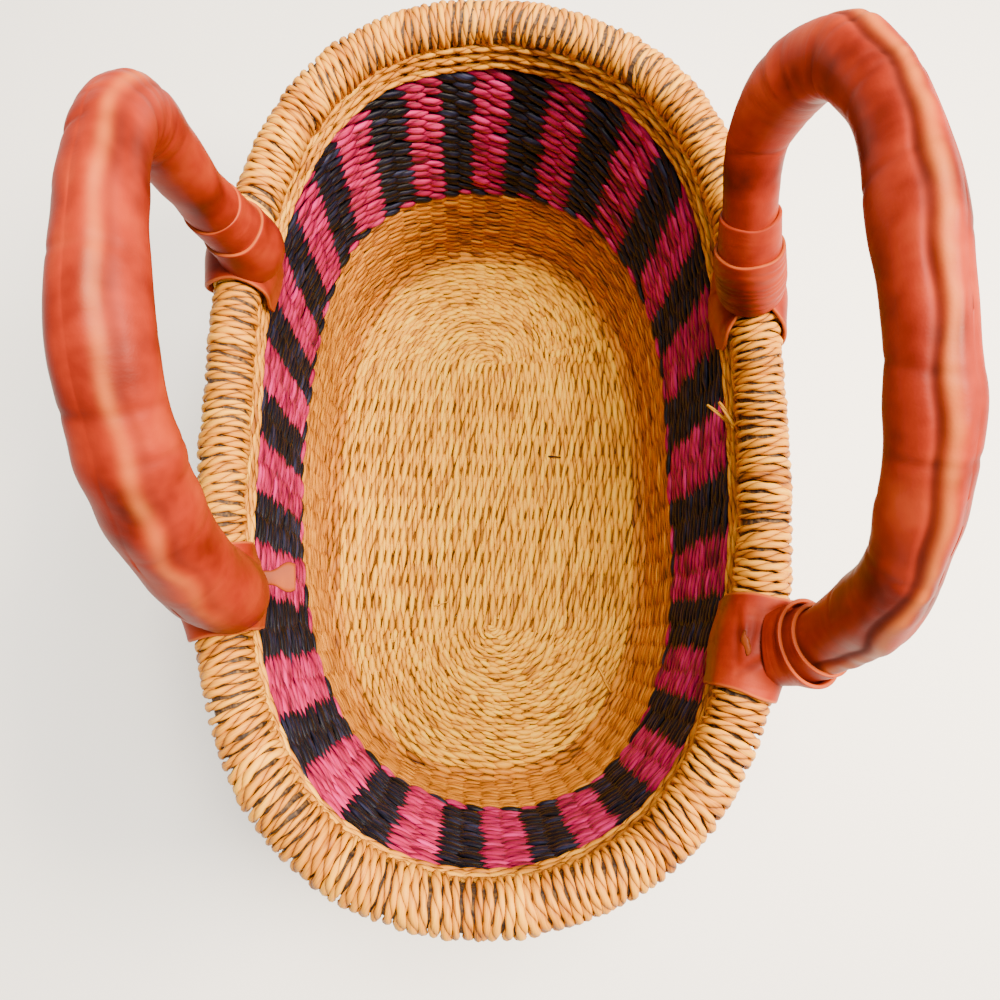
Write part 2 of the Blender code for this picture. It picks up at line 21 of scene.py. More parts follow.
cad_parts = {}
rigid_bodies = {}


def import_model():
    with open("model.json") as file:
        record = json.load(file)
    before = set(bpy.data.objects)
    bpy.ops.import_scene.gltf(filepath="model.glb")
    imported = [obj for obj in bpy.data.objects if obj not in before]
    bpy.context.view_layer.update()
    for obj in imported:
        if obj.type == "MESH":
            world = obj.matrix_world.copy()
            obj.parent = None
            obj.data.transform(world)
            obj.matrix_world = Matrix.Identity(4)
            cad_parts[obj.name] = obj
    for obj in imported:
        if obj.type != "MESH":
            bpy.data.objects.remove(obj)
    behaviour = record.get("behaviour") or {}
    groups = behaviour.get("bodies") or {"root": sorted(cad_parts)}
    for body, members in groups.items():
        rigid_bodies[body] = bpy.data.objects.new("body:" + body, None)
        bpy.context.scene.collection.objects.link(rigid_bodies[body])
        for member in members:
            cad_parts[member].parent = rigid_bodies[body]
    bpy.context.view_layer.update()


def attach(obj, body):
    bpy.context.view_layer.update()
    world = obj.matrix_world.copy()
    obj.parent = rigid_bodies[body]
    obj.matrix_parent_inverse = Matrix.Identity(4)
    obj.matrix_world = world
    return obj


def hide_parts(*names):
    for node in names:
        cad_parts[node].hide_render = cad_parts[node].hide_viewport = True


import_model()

LOG = logging.getLogger("basket")
MM = 0.001
TAU = 2.0 * np.pi
UP = np.array([0.0, 0.0, 1.0])
Array = np.ndarray
Material = bpy.types.Material
Place = Callable[[Array, Array, Array], Array]


class Body(Enum):
    """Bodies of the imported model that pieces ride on."""

    BASKET = "basket"
    RIGHT_HANDLE = "right_handle"
    LEFT_HANDLE = "left_handle"


class Side(Enum):
    """Which long side of the basket a handle stands on; the value is the sign of X."""

    RIGHT = 1
    LEFT = -1


# Numbers on whole arrays


def smooth_step(value: Array, low: float, high: float) -> Array:
    """Rise from 0 at low to 1 at high with level ends."""
    share = np.clip((np.asarray(value, float) - low) / (high - low), 0.0, 1.0)
    return share * share * (3.0 - 2.0 * share)


def bell(value: Array, middle: float, width: float) -> Array:
    """Bell curve: 1 at the middle and exp(-1) one width away from it."""
    return np.exp(-((value - middle) / width)**2)


def unit(vectors: Array) -> Array:
    """Scale vectors along the last axis to length one."""
    return vectors / np.maximum(np.linalg.norm(vectors, axis=-1, keepdims=True), 1e-12)


def cubic_weights(share: Array) -> tuple[Array, ...]:
    """Catmull-Rom weights of the four entries round a place, by its share of the way."""
    return (-0.5 * share + share**2 - 0.5 * share**3, 1.0 - 2.5 * share**2 + 1.5 * share**3,
            0.5 * share + 2.0 * share**2 - 1.5 * share**3, -0.5 * share**2 + 0.5 * share**3)


def round_table(table: Sequence[float], position: Array) -> Array:
    """Read a closed table smoothly between its entries.

    Args:
        table: Entries at whole positions; the last is followed by the first.
        position: Where to read, in entries.

    Returns:
        Values with the shape of position.
    """
    entries = np.asarray(table, float)
    first = np.floor(position).astype(int)
    return sum(weight * entries[(first + step - 1) % len(entries)]
               for step, weight in enumerate(cubic_weights(position - first)))


def open_table(rows: Array, position: Array) -> Array:
    """Read an open table of rows smoothly between its entries.

    Args:
        rows: Table of shape (entries, values).
        position: Where to read, from 0 to entries - 1.

    Returns:
        Array of shape position.shape + (values,).
    """
    padded = np.concatenate([rows[:1], rows, rows[-1:]])
    first = np.clip(np.floor(position).astype(int), 0, len(rows) - 2)
    weights = cubic_weights((position - first)[..., None])
    return sum(weight * padded[first + step] for step, weight in enumerate(weights))


def directions(points: Array, closed: bool) -> Array:
    """Unit tangents along the second last axis of an array of points."""
    if closed:
        return unit(np.roll(points, -1, axis=-2) - np.roll(points, 1, axis=-2))
    return unit(np.gradient(points, axis=-2))


# Surfaces and meshes


@dataclass
class Surface:
    """Faces on whole arrays.

    Attributes:
        points: Points in millimetres, (n, 3).
        quads: Point numbers of the four-sided faces, (m, 4).
        places: Place on the strand or leather for each quad corner, (m, 4, 2), in
            millimetres along it and turns or millimetres across it.
        values: Named numbers for each point, read by the finishes.
        triangles: Point numbers of three-sided faces that close ends, (k, 3).
    """

    points: Array
    quads: Array
    places: Array
    values: dict[str, Array] = field(default_factory=dict)
    triangles: Array = field(default_factory=lambda: np.zeros((0, 3), int))


def joined(surfaces: Sequence[Surface]) -> Surface:
    """Put several surfaces into one, keeping the values that all of them have."""
    starts = np.cumsum([0] + [len(surface.points) for surface in surfaces[:-1]])
    names = set.intersection(*(set(surface.values) for surface in surfaces))
    return Surface(
        np.concatenate([surface.points for surface in surfaces]),
        np.concatenate([surface.quads + start for surface, start in zip(surfaces, starts)]),
        np.concatenate([surface.places for surface in surfaces]),
        {name: np.concatenate([surface.values[name] for surface in surfaces]) for name in names},
        np.concatenate([surface.triangles + start for surface, start in zip(surfaces, starts)]),
    )


def grid(points: Array, places: Array, closed: tuple[bool, bool],
         values: dict[str, Array] | None = None) -> Surface:
    """Surface through a grid of points, or through several grids of one size.

    Face (i, j) joins points (i, j), (i, j+1), (i+1, j+1) and (i+1, j), so it faces the way of
    the step in j crossed with the step in i.

    Args:
        points: Grid points, (grids, rows, columns, 3).
        places: Places for rows + 1 and columns + 1, so that a closed side has its own end
            value, (grids, rows + 1, columns + 1, 2).
        closed: Whether rows and columns run round to their start.
        values: Numbers for each point, (grids, rows, columns).

    Returns:
        The surface.
    """
    grids, rows, columns = points.shape[:3]
    i, j = np.meshgrid(
        np.arange(rows if closed[0] else rows - 1),
        np.arange(columns if closed[1] else columns - 1), indexing="ij")
    corners = ((i, j), (i, j + 1), (i + 1, j + 1), (i + 1, j))
    numbers = np.stack([(a % rows) * columns + b % columns for a, b in corners], axis=-1)
    offsets = np.arange(grids)[:, None, None, None] * rows * columns
    quads = (numbers[None] + offsets).reshape(-1, 4)
    on_corners = np.stack([places[:, a, b] for a, b in corners], axis=-2)
    flat = {name: np.broadcast_to(value, points.shape[:3]).reshape(-1)
            for name, value in (values or {}).items()}
    return Surface(points.reshape(-1, 3), quads, on_corners.reshape(-1, 4, 2), flat)


def strands(paths: Array, broad: Array, half_width: Array, half_thickness: Array, sides: int,
            closed: bool, values: dict[str, Array] | None = None, start: Array | float = 0.0,
            roundness: float = 1.0) -> Surface:
    """Strands with a flattened round section along paths.

    Point (i, a) is path(i) + width(i) cos(a) broad + thickness(i) sin(a) lift, where lift is
    square to the path and to the broad way. Open strands close with a point at each end.

    Args:
        paths: Middle lines, (strands, steps, 3).
        broad: Vectors near the way in which the section is widest, like paths.
        half_width: Half of the section's width, broadcast to (strands, steps).
        half_thickness: Half of its thickness, the same.
        sides: Points round the section.
        closed: Whether each path runs round to its start.
        values: Numbers for each step, broadcast to (strands, steps).
        start: Place of each strand's first point, to make strands differ.
        roundness: Power on the cosine and sine; below 1 makes the section boxier.

    Returns:
        The surface.
    """
    count, steps = paths.shape[:2]
    tangent = directions(paths, closed)
    wide = unit(broad - (broad * tangent).sum(-1, keepdims=True) * tangent)
    lift = np.cross(tangent, wide)
    turn = TAU * np.arange(sides) / sides - TAU / 4
    cosine = np.sign(np.cos(turn)) * np.abs(np.cos(turn)) ** roundness
    sine = np.sign(np.sin(turn)) * np.abs(np.sin(turn)) ** roundness
    width = np.broadcast_to(half_width, (count, steps))[..., None, None]
    thickness = np.broadcast_to(half_thickness, (count, steps))[..., None, None]
    points = (paths[:, :, None] + width * cosine[:, None] * wide[:, :, None]
              + thickness * sine[:, None] * lift[:, :, None])
    edges = np.linalg.norm(np.diff(paths, axis=1, append=paths[:, :1] if closed else paths[:, -1:]),
                           axis=-1)
    travelled = np.concatenate([np.zeros((count, 1)), np.cumsum(edges, axis=1)], axis=1)
    travelled = travelled + np.broadcast_to(start, (count,))[:, None]
    places = np.stack(np.broadcast_arrays(
        travelled[:, :, None], (np.arange(sides + 1) / sides)[None, None]), axis=-1)
    spread = {name: np.broadcast_to(value, (count, steps))[..., None]
              for name, value in (values or {}).items()}
    surface = grid(points, places, (closed, True), spread)
    if closed:
        return surface
    return with_ends(surface, points, sides)


def with_ends(surface: Surface, points: Array, sides: int) -> Surface:
    """Close both ends of open strands with a fan to the middle of the end ring.

    Args:
        surface: Strands made by the function above, open at their ends.
        points: Their points as a grid, (strands, steps, sides, 3).
        sides: Points round the section.

    Returns:
        The surface with its fans.
    """
    count, steps = points.shape[:2]
    middles = np.concatenate([points[:, 0].mean(axis=1), points[:, -1].mean(axis=1)])
    ring = np.arange(sides)
    base = np.arange(count)[:, None] * steps * sides
    first, last = base + ring, base + (steps - 1) * sides + ring
    tip = len(surface.points) + np.arange(2 * count)[:, None]
    start_fan = np.stack(np.broadcast_arrays(tip[:count], np.roll(first, -1, 1), first), axis=-1)
    end_fan = np.stack(np.broadcast_arrays(tip[count:], last, np.roll(last, -1, 1)), axis=-1)
    triangles = np.concatenate([start_fan.reshape(-1, 3), end_fan.reshape(-1, 3)])
    values = {name: np.concatenate([value, value[first[:, 0]], value[last[:, 0]]])
              for name, value in surface.values.items()}
    return Surface(np.concatenate([surface.points, middles]), surface.quads, surface.places,
                   values, triangles)


def new_piece(name: str, surface: Surface, finish: Material, body: Body | None,
              replaced: Sequence[str] = ()) -> bpy.types.Object:
    """Make an object at the origin from a surface, dress it and hang it on its body.

    Args:
        name: The piece's name.
        surface: Its faces, in millimetres.
        finish: Its material.
        body: The body that it rides on, or None where the caller blends it.
        replaced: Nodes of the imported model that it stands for.

    Returns:
        The object.
    """
    mesh = bpy.data.meshes.new(name)
    mesh.vertices.add(len(surface.points))
    mesh.vertices.foreach_set("co", (surface.points * MM).astype(np.float32).ravel())
    corners = np.concatenate([surface.quads.ravel(), surface.triangles.ravel()]).astype(np.int32)
    mesh.loops.add(len(corners))
    mesh.loops.foreach_set("vertex_index", corners)
    quads, triangles = len(surface.quads), len(surface.triangles)
    starts = np.concatenate([np.arange(quads) * 4, quads * 4 + np.arange(triangles) * 3])
    mesh.polygons.add(quads + triangles)
    mesh.polygons.foreach_set("loop_start", starts.astype(np.int32))
    places = np.zeros((len(corners), 2), np.float32)
    places[: quads * 4] = surface.places.reshape(-1, 2)
    mesh.update(calc_edges=True)
    mesh.uv_layers.new(name="place").data.foreach_set("uv", places.ravel())
    for key, value in surface.values.items():
        mesh.attributes.new(key, "FLOAT", "POINT").data.foreach_set(
            "value", value.astype(np.float32))
    mesh.shade_smooth()
    mesh.materials.append(finish)
    item = bpy.data.objects.new(name, mesh)
    bpy.context.scene.collection.objects.link(item)
    if replaced:
        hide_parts(*replaced)
    if body is not None:
        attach(item, body.value)
    LOG.info("%s: %d faces", name, quads + triangles)
    return item


# Finishes


def linear(colour: str) -> tuple[float, float, float, float]:
    """Turn an sRGB hex colour to the linear values that the shader takes."""
    parts = np.array([int(colour[i:i + 2], 16) / 255.0 for i in (1, 3, 5)])
    values = np.where(parts <= 0.04045, parts / 12.92, ((parts + 0.055) / 1.055) ** 2.4)
    return (*values.tolist(), 1.0)


def wire(made: bpy.types.Node, inputs: dict) -> None:
    """Link or set the inputs of a node.

    Args:
        made: The node.
        inputs: For each input, by name or number: a socket to link, a node whose first
            output is linked, or a value to set.
    """
    for key, value in inputs.items():
        source = value.outputs[0] if isinstance(value, bpy.types.Node) else value
        if isinstance(source, bpy.types.NodeSocket):
            made.id_data.links.new(source, made.inputs[key])
        else:
            made.inputs[key].default_value = source


def node(material: Material, kind: str, settings: dict | None = None,
         inputs: dict | None = None) -> bpy.types.Node:
    """Add a node to a material, set it up and link it.

    Args:
        material: The material whose tree gets the node.
        kind: The node's type name without its first part, ShaderNode.
        settings: Values for the node's own properties.
        inputs: Its inputs, as the function above takes them.

    Returns:
        The node.
    """
    made = material.node_tree.nodes.new("ShaderNode" + kind)
    for key, value in (settings or {}).items():
        setattr(made, key, value)
    wire(made, inputs or {})
    return made


def new_material(name: str) -> tuple[Material, bpy.types.Node]:
    """Make a material with an empty tree but for its shader and output.

    Returns:
        The material and its Principled shader.
    """
    material = bpy.data.materials.new(name)
    material.use_nodes = True
    return material, material.node_tree.nodes["Principled BSDF"]


def ramp(material: Material, factor: bpy.types.Node | bpy.types.NodeSocket,
         stops: Sequence[tuple[float, str]]) -> bpy.types.Node:
    """Add a colour ramp through sRGB hex stops."""
    made = node(material, "ValToRGB", inputs={"Fac": factor})
    elements = made.color_ramp.elements
    while len(elements) < len(stops):
        elements.new(0.5)
    for element, (position, colour) in zip(elements, stops):
        element.position = position
        element.color = linear(colour)
    return made


@dataclass(frozen=True)
class GrassStrand:
    """Dry savanna grass, split and twisted by hand into a strand, with its natural wax.

    The eye sees long fibres along each strand, satin highlights on its crown, strands of
    slightly different age and dark slits where they cross. The grooves between the two plies
    are coloured darker as painted shade and the plies' crowns paler as painted highlight, on
    top of their bump. Fibres are about 0.2 mm wide and are drawn about 0.4 mm wide so that
    they show.

    Attributes:
        name: The material's name.
        stops: Colours from the deepest fibre to the palest.
        dark_stops: Colours of strands whose dye value is 1, or none.
        roughness: Mean roughness.
        fibre_width: Width of a fibre as drawn, in turns round the strand.
        fibre_length: Length of a fibre as drawn, in millimetres.
        relief: Depth of the fibres' relief in millimetres.
        shine: Specular level; the dyed grass lost its natural wax in the hot dye.
        twist: Length in which the two plies of a strand turn once round each other.
        ply_relief: Depth of the two grooves between the plies in millimetres.
        patch: Size of the patches of slightly different age in millimetres.
    """

    name: str
    stops: tuple[tuple[float, str], ...]
    dark_stops: tuple[tuple[float, str], ...] = ()
    roughness: float = 0.5
    fibre_width: float = 0.07
    fibre_length: float = 9.0
    relief: float = 0.22
    shine: float = 0.2
    twist: float = 23.0
    ply_relief: float = 0.7
    patch: float = 28.0

    def build(self) -> Material:
        """Make the material.

        Returns:
            The material, which reads the piece's places and its tone and dye values.
        """
        material, shader = new_material(self.name)
        add = partial(node, material)
        place = add("UVMap", {"uv_map": "place"})
        stretched = add("Mapping", inputs={
            "Vector": place, "Scale": (1.0 / self.fibre_length, 1.0 / self.fibre_width, 1.0)})
        fibres = add("TexNoise", inputs={
            "Vector": stretched, "Scale": 1.0, "Detail": 3.0, "Roughness": 0.6})
        patches = add("TexNoise", inputs={
            "Vector": add("TexCoord").outputs["Object"], "Scale": 1.0 / (self.patch * MM),
            "Detail": 2.0})
        parts = add("SeparateXYZ", inputs={"Vector": place})
        ply_groove_and_shade = add("Math", {"operation": "MULTIPLY_ADD"}, {
            0: parts.outputs["X"], 1: 1.0 / self.twist, 2: parts.outputs["Y"]})
        for operation, number in (("MULTIPLY", TAU), ("SINE", 0.0), ("ABSOLUTE", 0.0),
                                  ("POWER", 0.4)):
            ply_groove_and_shade = add("Math", {"operation": operation}, {0: ply_groove_and_shade, 1: number})
        level = add("Attribute", {"attribute_name": "tone"}).outputs["Fac"]
        # The ply value darkens the colour in the grooves between the plies and lightens it on their
        # crowns: painted shade and painted highlight. It is also the plies' bump height below.
        for source, weight in ((ply_groove_and_shade, 0.36), (fibres, 0.6), (patches, 0.1)):
            level = add("Math", {"operation": "MULTIPLY_ADD"}, {0: source, 1: weight, 2: level})
        colour = ramp(material, level, self.stops)
        if self.dark_stops:
            dye = add("Attribute", {"attribute_name": "dye"}).outputs["Fac"]
            colour = add("Mix", {"data_type": "RGBA"}, {
                0: dye, 6: colour, 7: ramp(material, level, self.dark_stops)}).outputs[2]
        rough = add("MapRange", inputs={
            "Value": fibres, "To Min": self.roughness - 0.1, "To Max": self.roughness + 0.15})
        plies = add("Bump", inputs={
            "Height": ply_groove_and_shade, "Strength": 1.0, "Distance": self.ply_relief * MM})
        relief = add("Bump", inputs={
            "Height": fibres, "Strength": 0.8, "Distance": self.relief * MM, "Normal": plies})
        wire(shader, {"Base Color": colour, "Roughness": rough, "Normal": relief, "IOR": 1.48,
                      "Specular IOR Level": self.shine})
        return material


# Body of the basket


@dataclass(frozen=True)
class Oval:
    """The hand-woven oval that every ring of the body follows.

    A point at a turn lies on a superellipse, moved outward along its normal by the outset
    and by the wall's unevenness there. Half sizes grow evenly from the floor to the rim.
    """

    half_widths: tuple[float, float] = (92.1, 92.8)
    half_lengths: tuple[float, float] = (156.9, 161.8)
    power: float = 2.6
    floor_level: float = 5.0
    border_level: float = 73.0
    rim_level: float = 155.0
    border_unevenness: tuple[float, ...] = (
        -2.4, -1.0, -2.0, -4.2, -2.8, -1.8, 2.2, 0.5, 1.2, -0.6, -3.8, -4.6, 0.0, -0.2, 0.6, 0.2)
    rim_unevenness: tuple[float, ...] = (
        -0.9, -0.3, 0.4, -2.3, -0.6, -1.8, -0.5, 0.2, -0.5, 1.0, 2.0, 0.3, 1.3, -2.4, -2.8, -1.6)

    def unevenness(self, turn: Array, height: Array) -> Array:
        """How far the wall stands outside the even oval at a turn and a height."""
        position = turn / TAU * len(self.rim_unevenness)
        border = round_table(self.border_unevenness, position)
        rim = round_table(self.rim_unevenness, position)
        low = np.clip((height - self.floor_level) / (self.border_level - self.floor_level), 0, 1)
        high = np.clip((height - self.border_level) / (self.rim_level - self.border_level), 0, 1)
        return border * low * (1.0 - high) + rim * high

    def point(self, turn: Array, outset: Array, height: Array) -> Array:
        """Point at a turn, an outset from the wall's inner face and a height.

        Returns:
            Array of the broadcast shape with three coordinates.
        """
        turn, outset, height = np.broadcast_arrays(turn, outset, height)
        share = np.clip(
            (height - self.floor_level) / (self.rim_level - self.floor_level), 0.0, 1.0)
        width = self.half_widths[0] + (self.half_widths[1] - self.half_widths[0]) * share
        length = self.half_lengths[0] + (self.half_lengths[1] - self.half_lengths[0]) * share
        cosine, sine = np.cos(turn), np.sin(turn)
        scale = (np.abs(cosine)**self.power + np.abs(sine)**self.power)**(-1.0 / self.power)
        east, north = scale * cosine, scale * sine
        slope_east = np.abs(east)**(self.power - 1.0) * np.sign(east) / width
        slope_north = np.abs(north)**(self.power - 1.0) * np.sign(north) / length
        reach = (outset + self.unevenness(turn, height)) / np.hypot(slope_east, slope_north)
        return np.stack(
            [width * east + slope_east * reach, length * north + slope_north * reach,
             height + 0.0 * turn], axis=-1)

    def outward(self, turn: Array, height: float) -> Array:
        """Level unit vector square to the wall, pointing out of the basket."""
        return unit(self.point(turn, 1.0, height) - self.point(turn, 0.0, height))

    def even_turns(self, count: int, outset: float, height: float) -> tuple[Array, float]:
        """Turns at equal distances along a ring.

        Args:
            count: How many turns.
            outset: The ring's outset.
            height: Its height.

        Returns:
            The turns, and the ring's length in millimetres.
        """
        dense = np.linspace(0.0, TAU, 4001)
        ring = self.point(dense, outset, height)
        travelled = np.concatenate(
            [[0.0], np.cumsum(np.linalg.norm(np.diff(ring, axis=0), axis=1))])
        marks = np.arange(count) / count * travelled[-1]
        return np.interp(marks, travelled, dense), float(travelled[-1])


@dataclass(frozen=True)
class Stakes:
    """The upright stakes, 84 of them, numbered anticlockwise from the right side.

    Two stakes carry pink strokes and the next two dark ones, so a pair of stripes takes four.
    pink_bearings are the bearings of the pink stripes' middles, in degrees from the right
    side; the stripes are wider on the long sides than at the ends.
    """

    count: int = 84
    pink_bearings: tuple[float, ...] = (
        0.0, 30.6, 49.7, 65.0, 78.4, 91.0, 102.0, 115.0, 128.0, 144.0, 163.6, 189.0, 212.0,
        231.4, 246.0, 259.5, 272.0, 284.3, 297.0, 311.0, 330.5)

    def turn(self, oval: Oval, stake: Array) -> Array:
        """Turn of the oval at a stake number, whole or between two stakes."""
        pairs = len(self.pink_bearings)
        bearing = np.radians(self.pink_bearings)
        turns = np.unwrap(np.arctan2(
            np.sin(bearing) / oval.half_lengths[1], np.cos(bearing) / oval.half_widths[1]))
        position = (stake - 0.5) / 4.0
        return (round_table(turns - TAU * np.arange(pairs) / pairs, position)
                + TAU * position / pairs)

    def dye(self, stake: Array) -> Array:
        """Zero where a stake's strokes are pink and one where they are dark."""
        return (stake % 4 >= 2).astype(float)


class Face(Enum):
    """Which face of the weave a stroke lies on; the value is the sign of the way inward."""

    INNER = 1
    OUTER = -1


@dataclass(frozen=True)
class Weave:
    """Rows of twining, seen as strokes: one on each face over every stake.

    With f from -1 to 1 along a stroke and c = cos(pi f / 2), the strand stands away from the
    wall's middle by depth c^0.45 and above the row's middle by rise (1.25 f - 0.25 f^3), so
    each stroke slants up to the left when seen from inside, and down on the other face. It
    is widest over its stake and ends in points in the wall's middle, which reach past the
    points of its neighbours; its right end lies over the left end of the next one.

    Attributes:
        depth: How far a stroke's crown stands from the wall's middle, in millimetres.
        rise: Half of the way that a stroke climbs.
        half_width: Half of a strand's width at the middle of a stroke.
        half_thickness: Half of its thickness there.
        steps: Sections along a stroke.
        sides: Points round a section.
        jitter: How far a stroke strays up or down.
        waist: Width at a stroke's ends as a share of its middle's.
        reach: Half of a stroke's length, in stakes.
        fullness: Power on c for the width; below 1 the stroke stays broad up to its ends.
        skew: How far a stroke's right end stands in front of its left end.
        spreads: Spread of the strokes' length, width and rise as shares of them.
    """

    depth: float
    rise: float
    half_width: float
    half_thickness: float
    steps: int = 8
    sides: int = 6
    jitter: float = 0.3
    waist: float = 0.07
    reach: float = 0.82
    skew: float = 0.25
    fullness: float = 0.85
    spreads: tuple[float, float, float] = (0.08, 0.13, 0.12)

    def ring(self, place: Place, stakes: int, face: Face,
             dye: Callable[[Array], Array], draw: np.random.Generator) -> Surface:
        """The strokes of one row on one face.

        Args:
            place: Turns stake numbers, offsets inward and offsets upward into points.
            stakes: How many stakes the row passes.
            face: The weave's face.
            dye: Turns stake numbers into dye values.
            draw: Source of the strokes' small differences.

        Returns:
            The row's surface.
        """
        share = np.linspace(-1.0, 1.0, self.steps)
        number = np.arange(stakes)
        long, wide, steep = self.spreads
        reach = self.reach * (1.0 + draw.normal(0.0, long, (stakes, 1)))
        stake = number[:, None] + reach * share
        crown = np.cos(0.5 * np.pi * share)
        swell = 1.0 + draw.normal(0.0, wide, (stakes, 1))
        stray, pull = draw.normal(0.0, self.jitter, (2, stakes, 1))
        lean = self.rise * (1.0 + draw.normal(0.0, steep, (stakes, 1)))
        inward = (self.depth + 0.7 * pull) * crown**0.45 - 2.6 * self.skew * share * crown**2
        up = face.value * lean * (1.25 * share - 0.25 * share**3) + stray
        inward = face.value * inward
        paths = place(stake, inward, up)
        broad = place(stake, inward, up + 0.5) - place(stake, inward, up - 0.5)
        spindle = (self.waist + (1.0 - self.waist) * crown**self.fullness) * swell
        # Strokes are coloured darker toward their tips, where they tuck under their neighbours:
        # painted shade. The rest of the tone differs at random.
        tone = draw.normal(0.0, 0.08, (stakes, 1)) - 0.3 * (1.0 - crown)**2
        return strands(
            paths, broad, self.half_width * spindle, self.half_thickness * spindle**0.7,
            self.sides, False, {"tone": tone, "dye": dye(number)[:, None]},
            draw.uniform(0.0, 400.0, stakes))


def undyed(stake: Array) -> Array:
    """Dye values of strokes that have no dye."""
    return 0.0 * stake


def weave_faces(names: tuple[str, str], rows: Callable[[Face], Sequence[Surface]],
                finish: Material, node_name: str) -> None:
    """Make one piece from the rows of each face of a weave.

    Args:
        names: Names of the inner and the outer piece.
        rows: Makes the rows' surfaces for a face.
        finish: The strands' material.
        node_name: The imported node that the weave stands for.
    """
    for name, face in zip(names, Face):
        new_piece(name, joined(rows(face)), finish, Body.BASKET,
                  [node_name] if face is Face.INNER else [])


def stake_strips(lines: Sequence[Array], widest: float, dye: Array,
                 draw: np.random.Generator) -> Surface:
    """Flat bundles of grass along the stakes, a little broader than their spacing.

    Args:
        lines: Lines half a stake before each stake, along it and half a stake after it, each
            (stakes, steps, 3).
        widest: Most that half of a bundle's width may be.
        dye: Dye value of each stake, (stakes, 1).
        draw: Source of the stakes' small differences.

    Returns:
        The surface.
    """
    across = lines[2] - lines[0]
    half = np.minimum(0.66 * np.linalg.norm(across, axis=-1), widest)
    # The stakes' tone is set below the strands': painted shade where they show in the slits between
    # strokes.
    tone = draw.normal(-0.2, 0.08, dye.shape)
    return strands(lines[1], across, half, 0.45, 6, False, {"tone": tone, "dye": dye},
                   draw.uniform(0, 300, len(dye)))


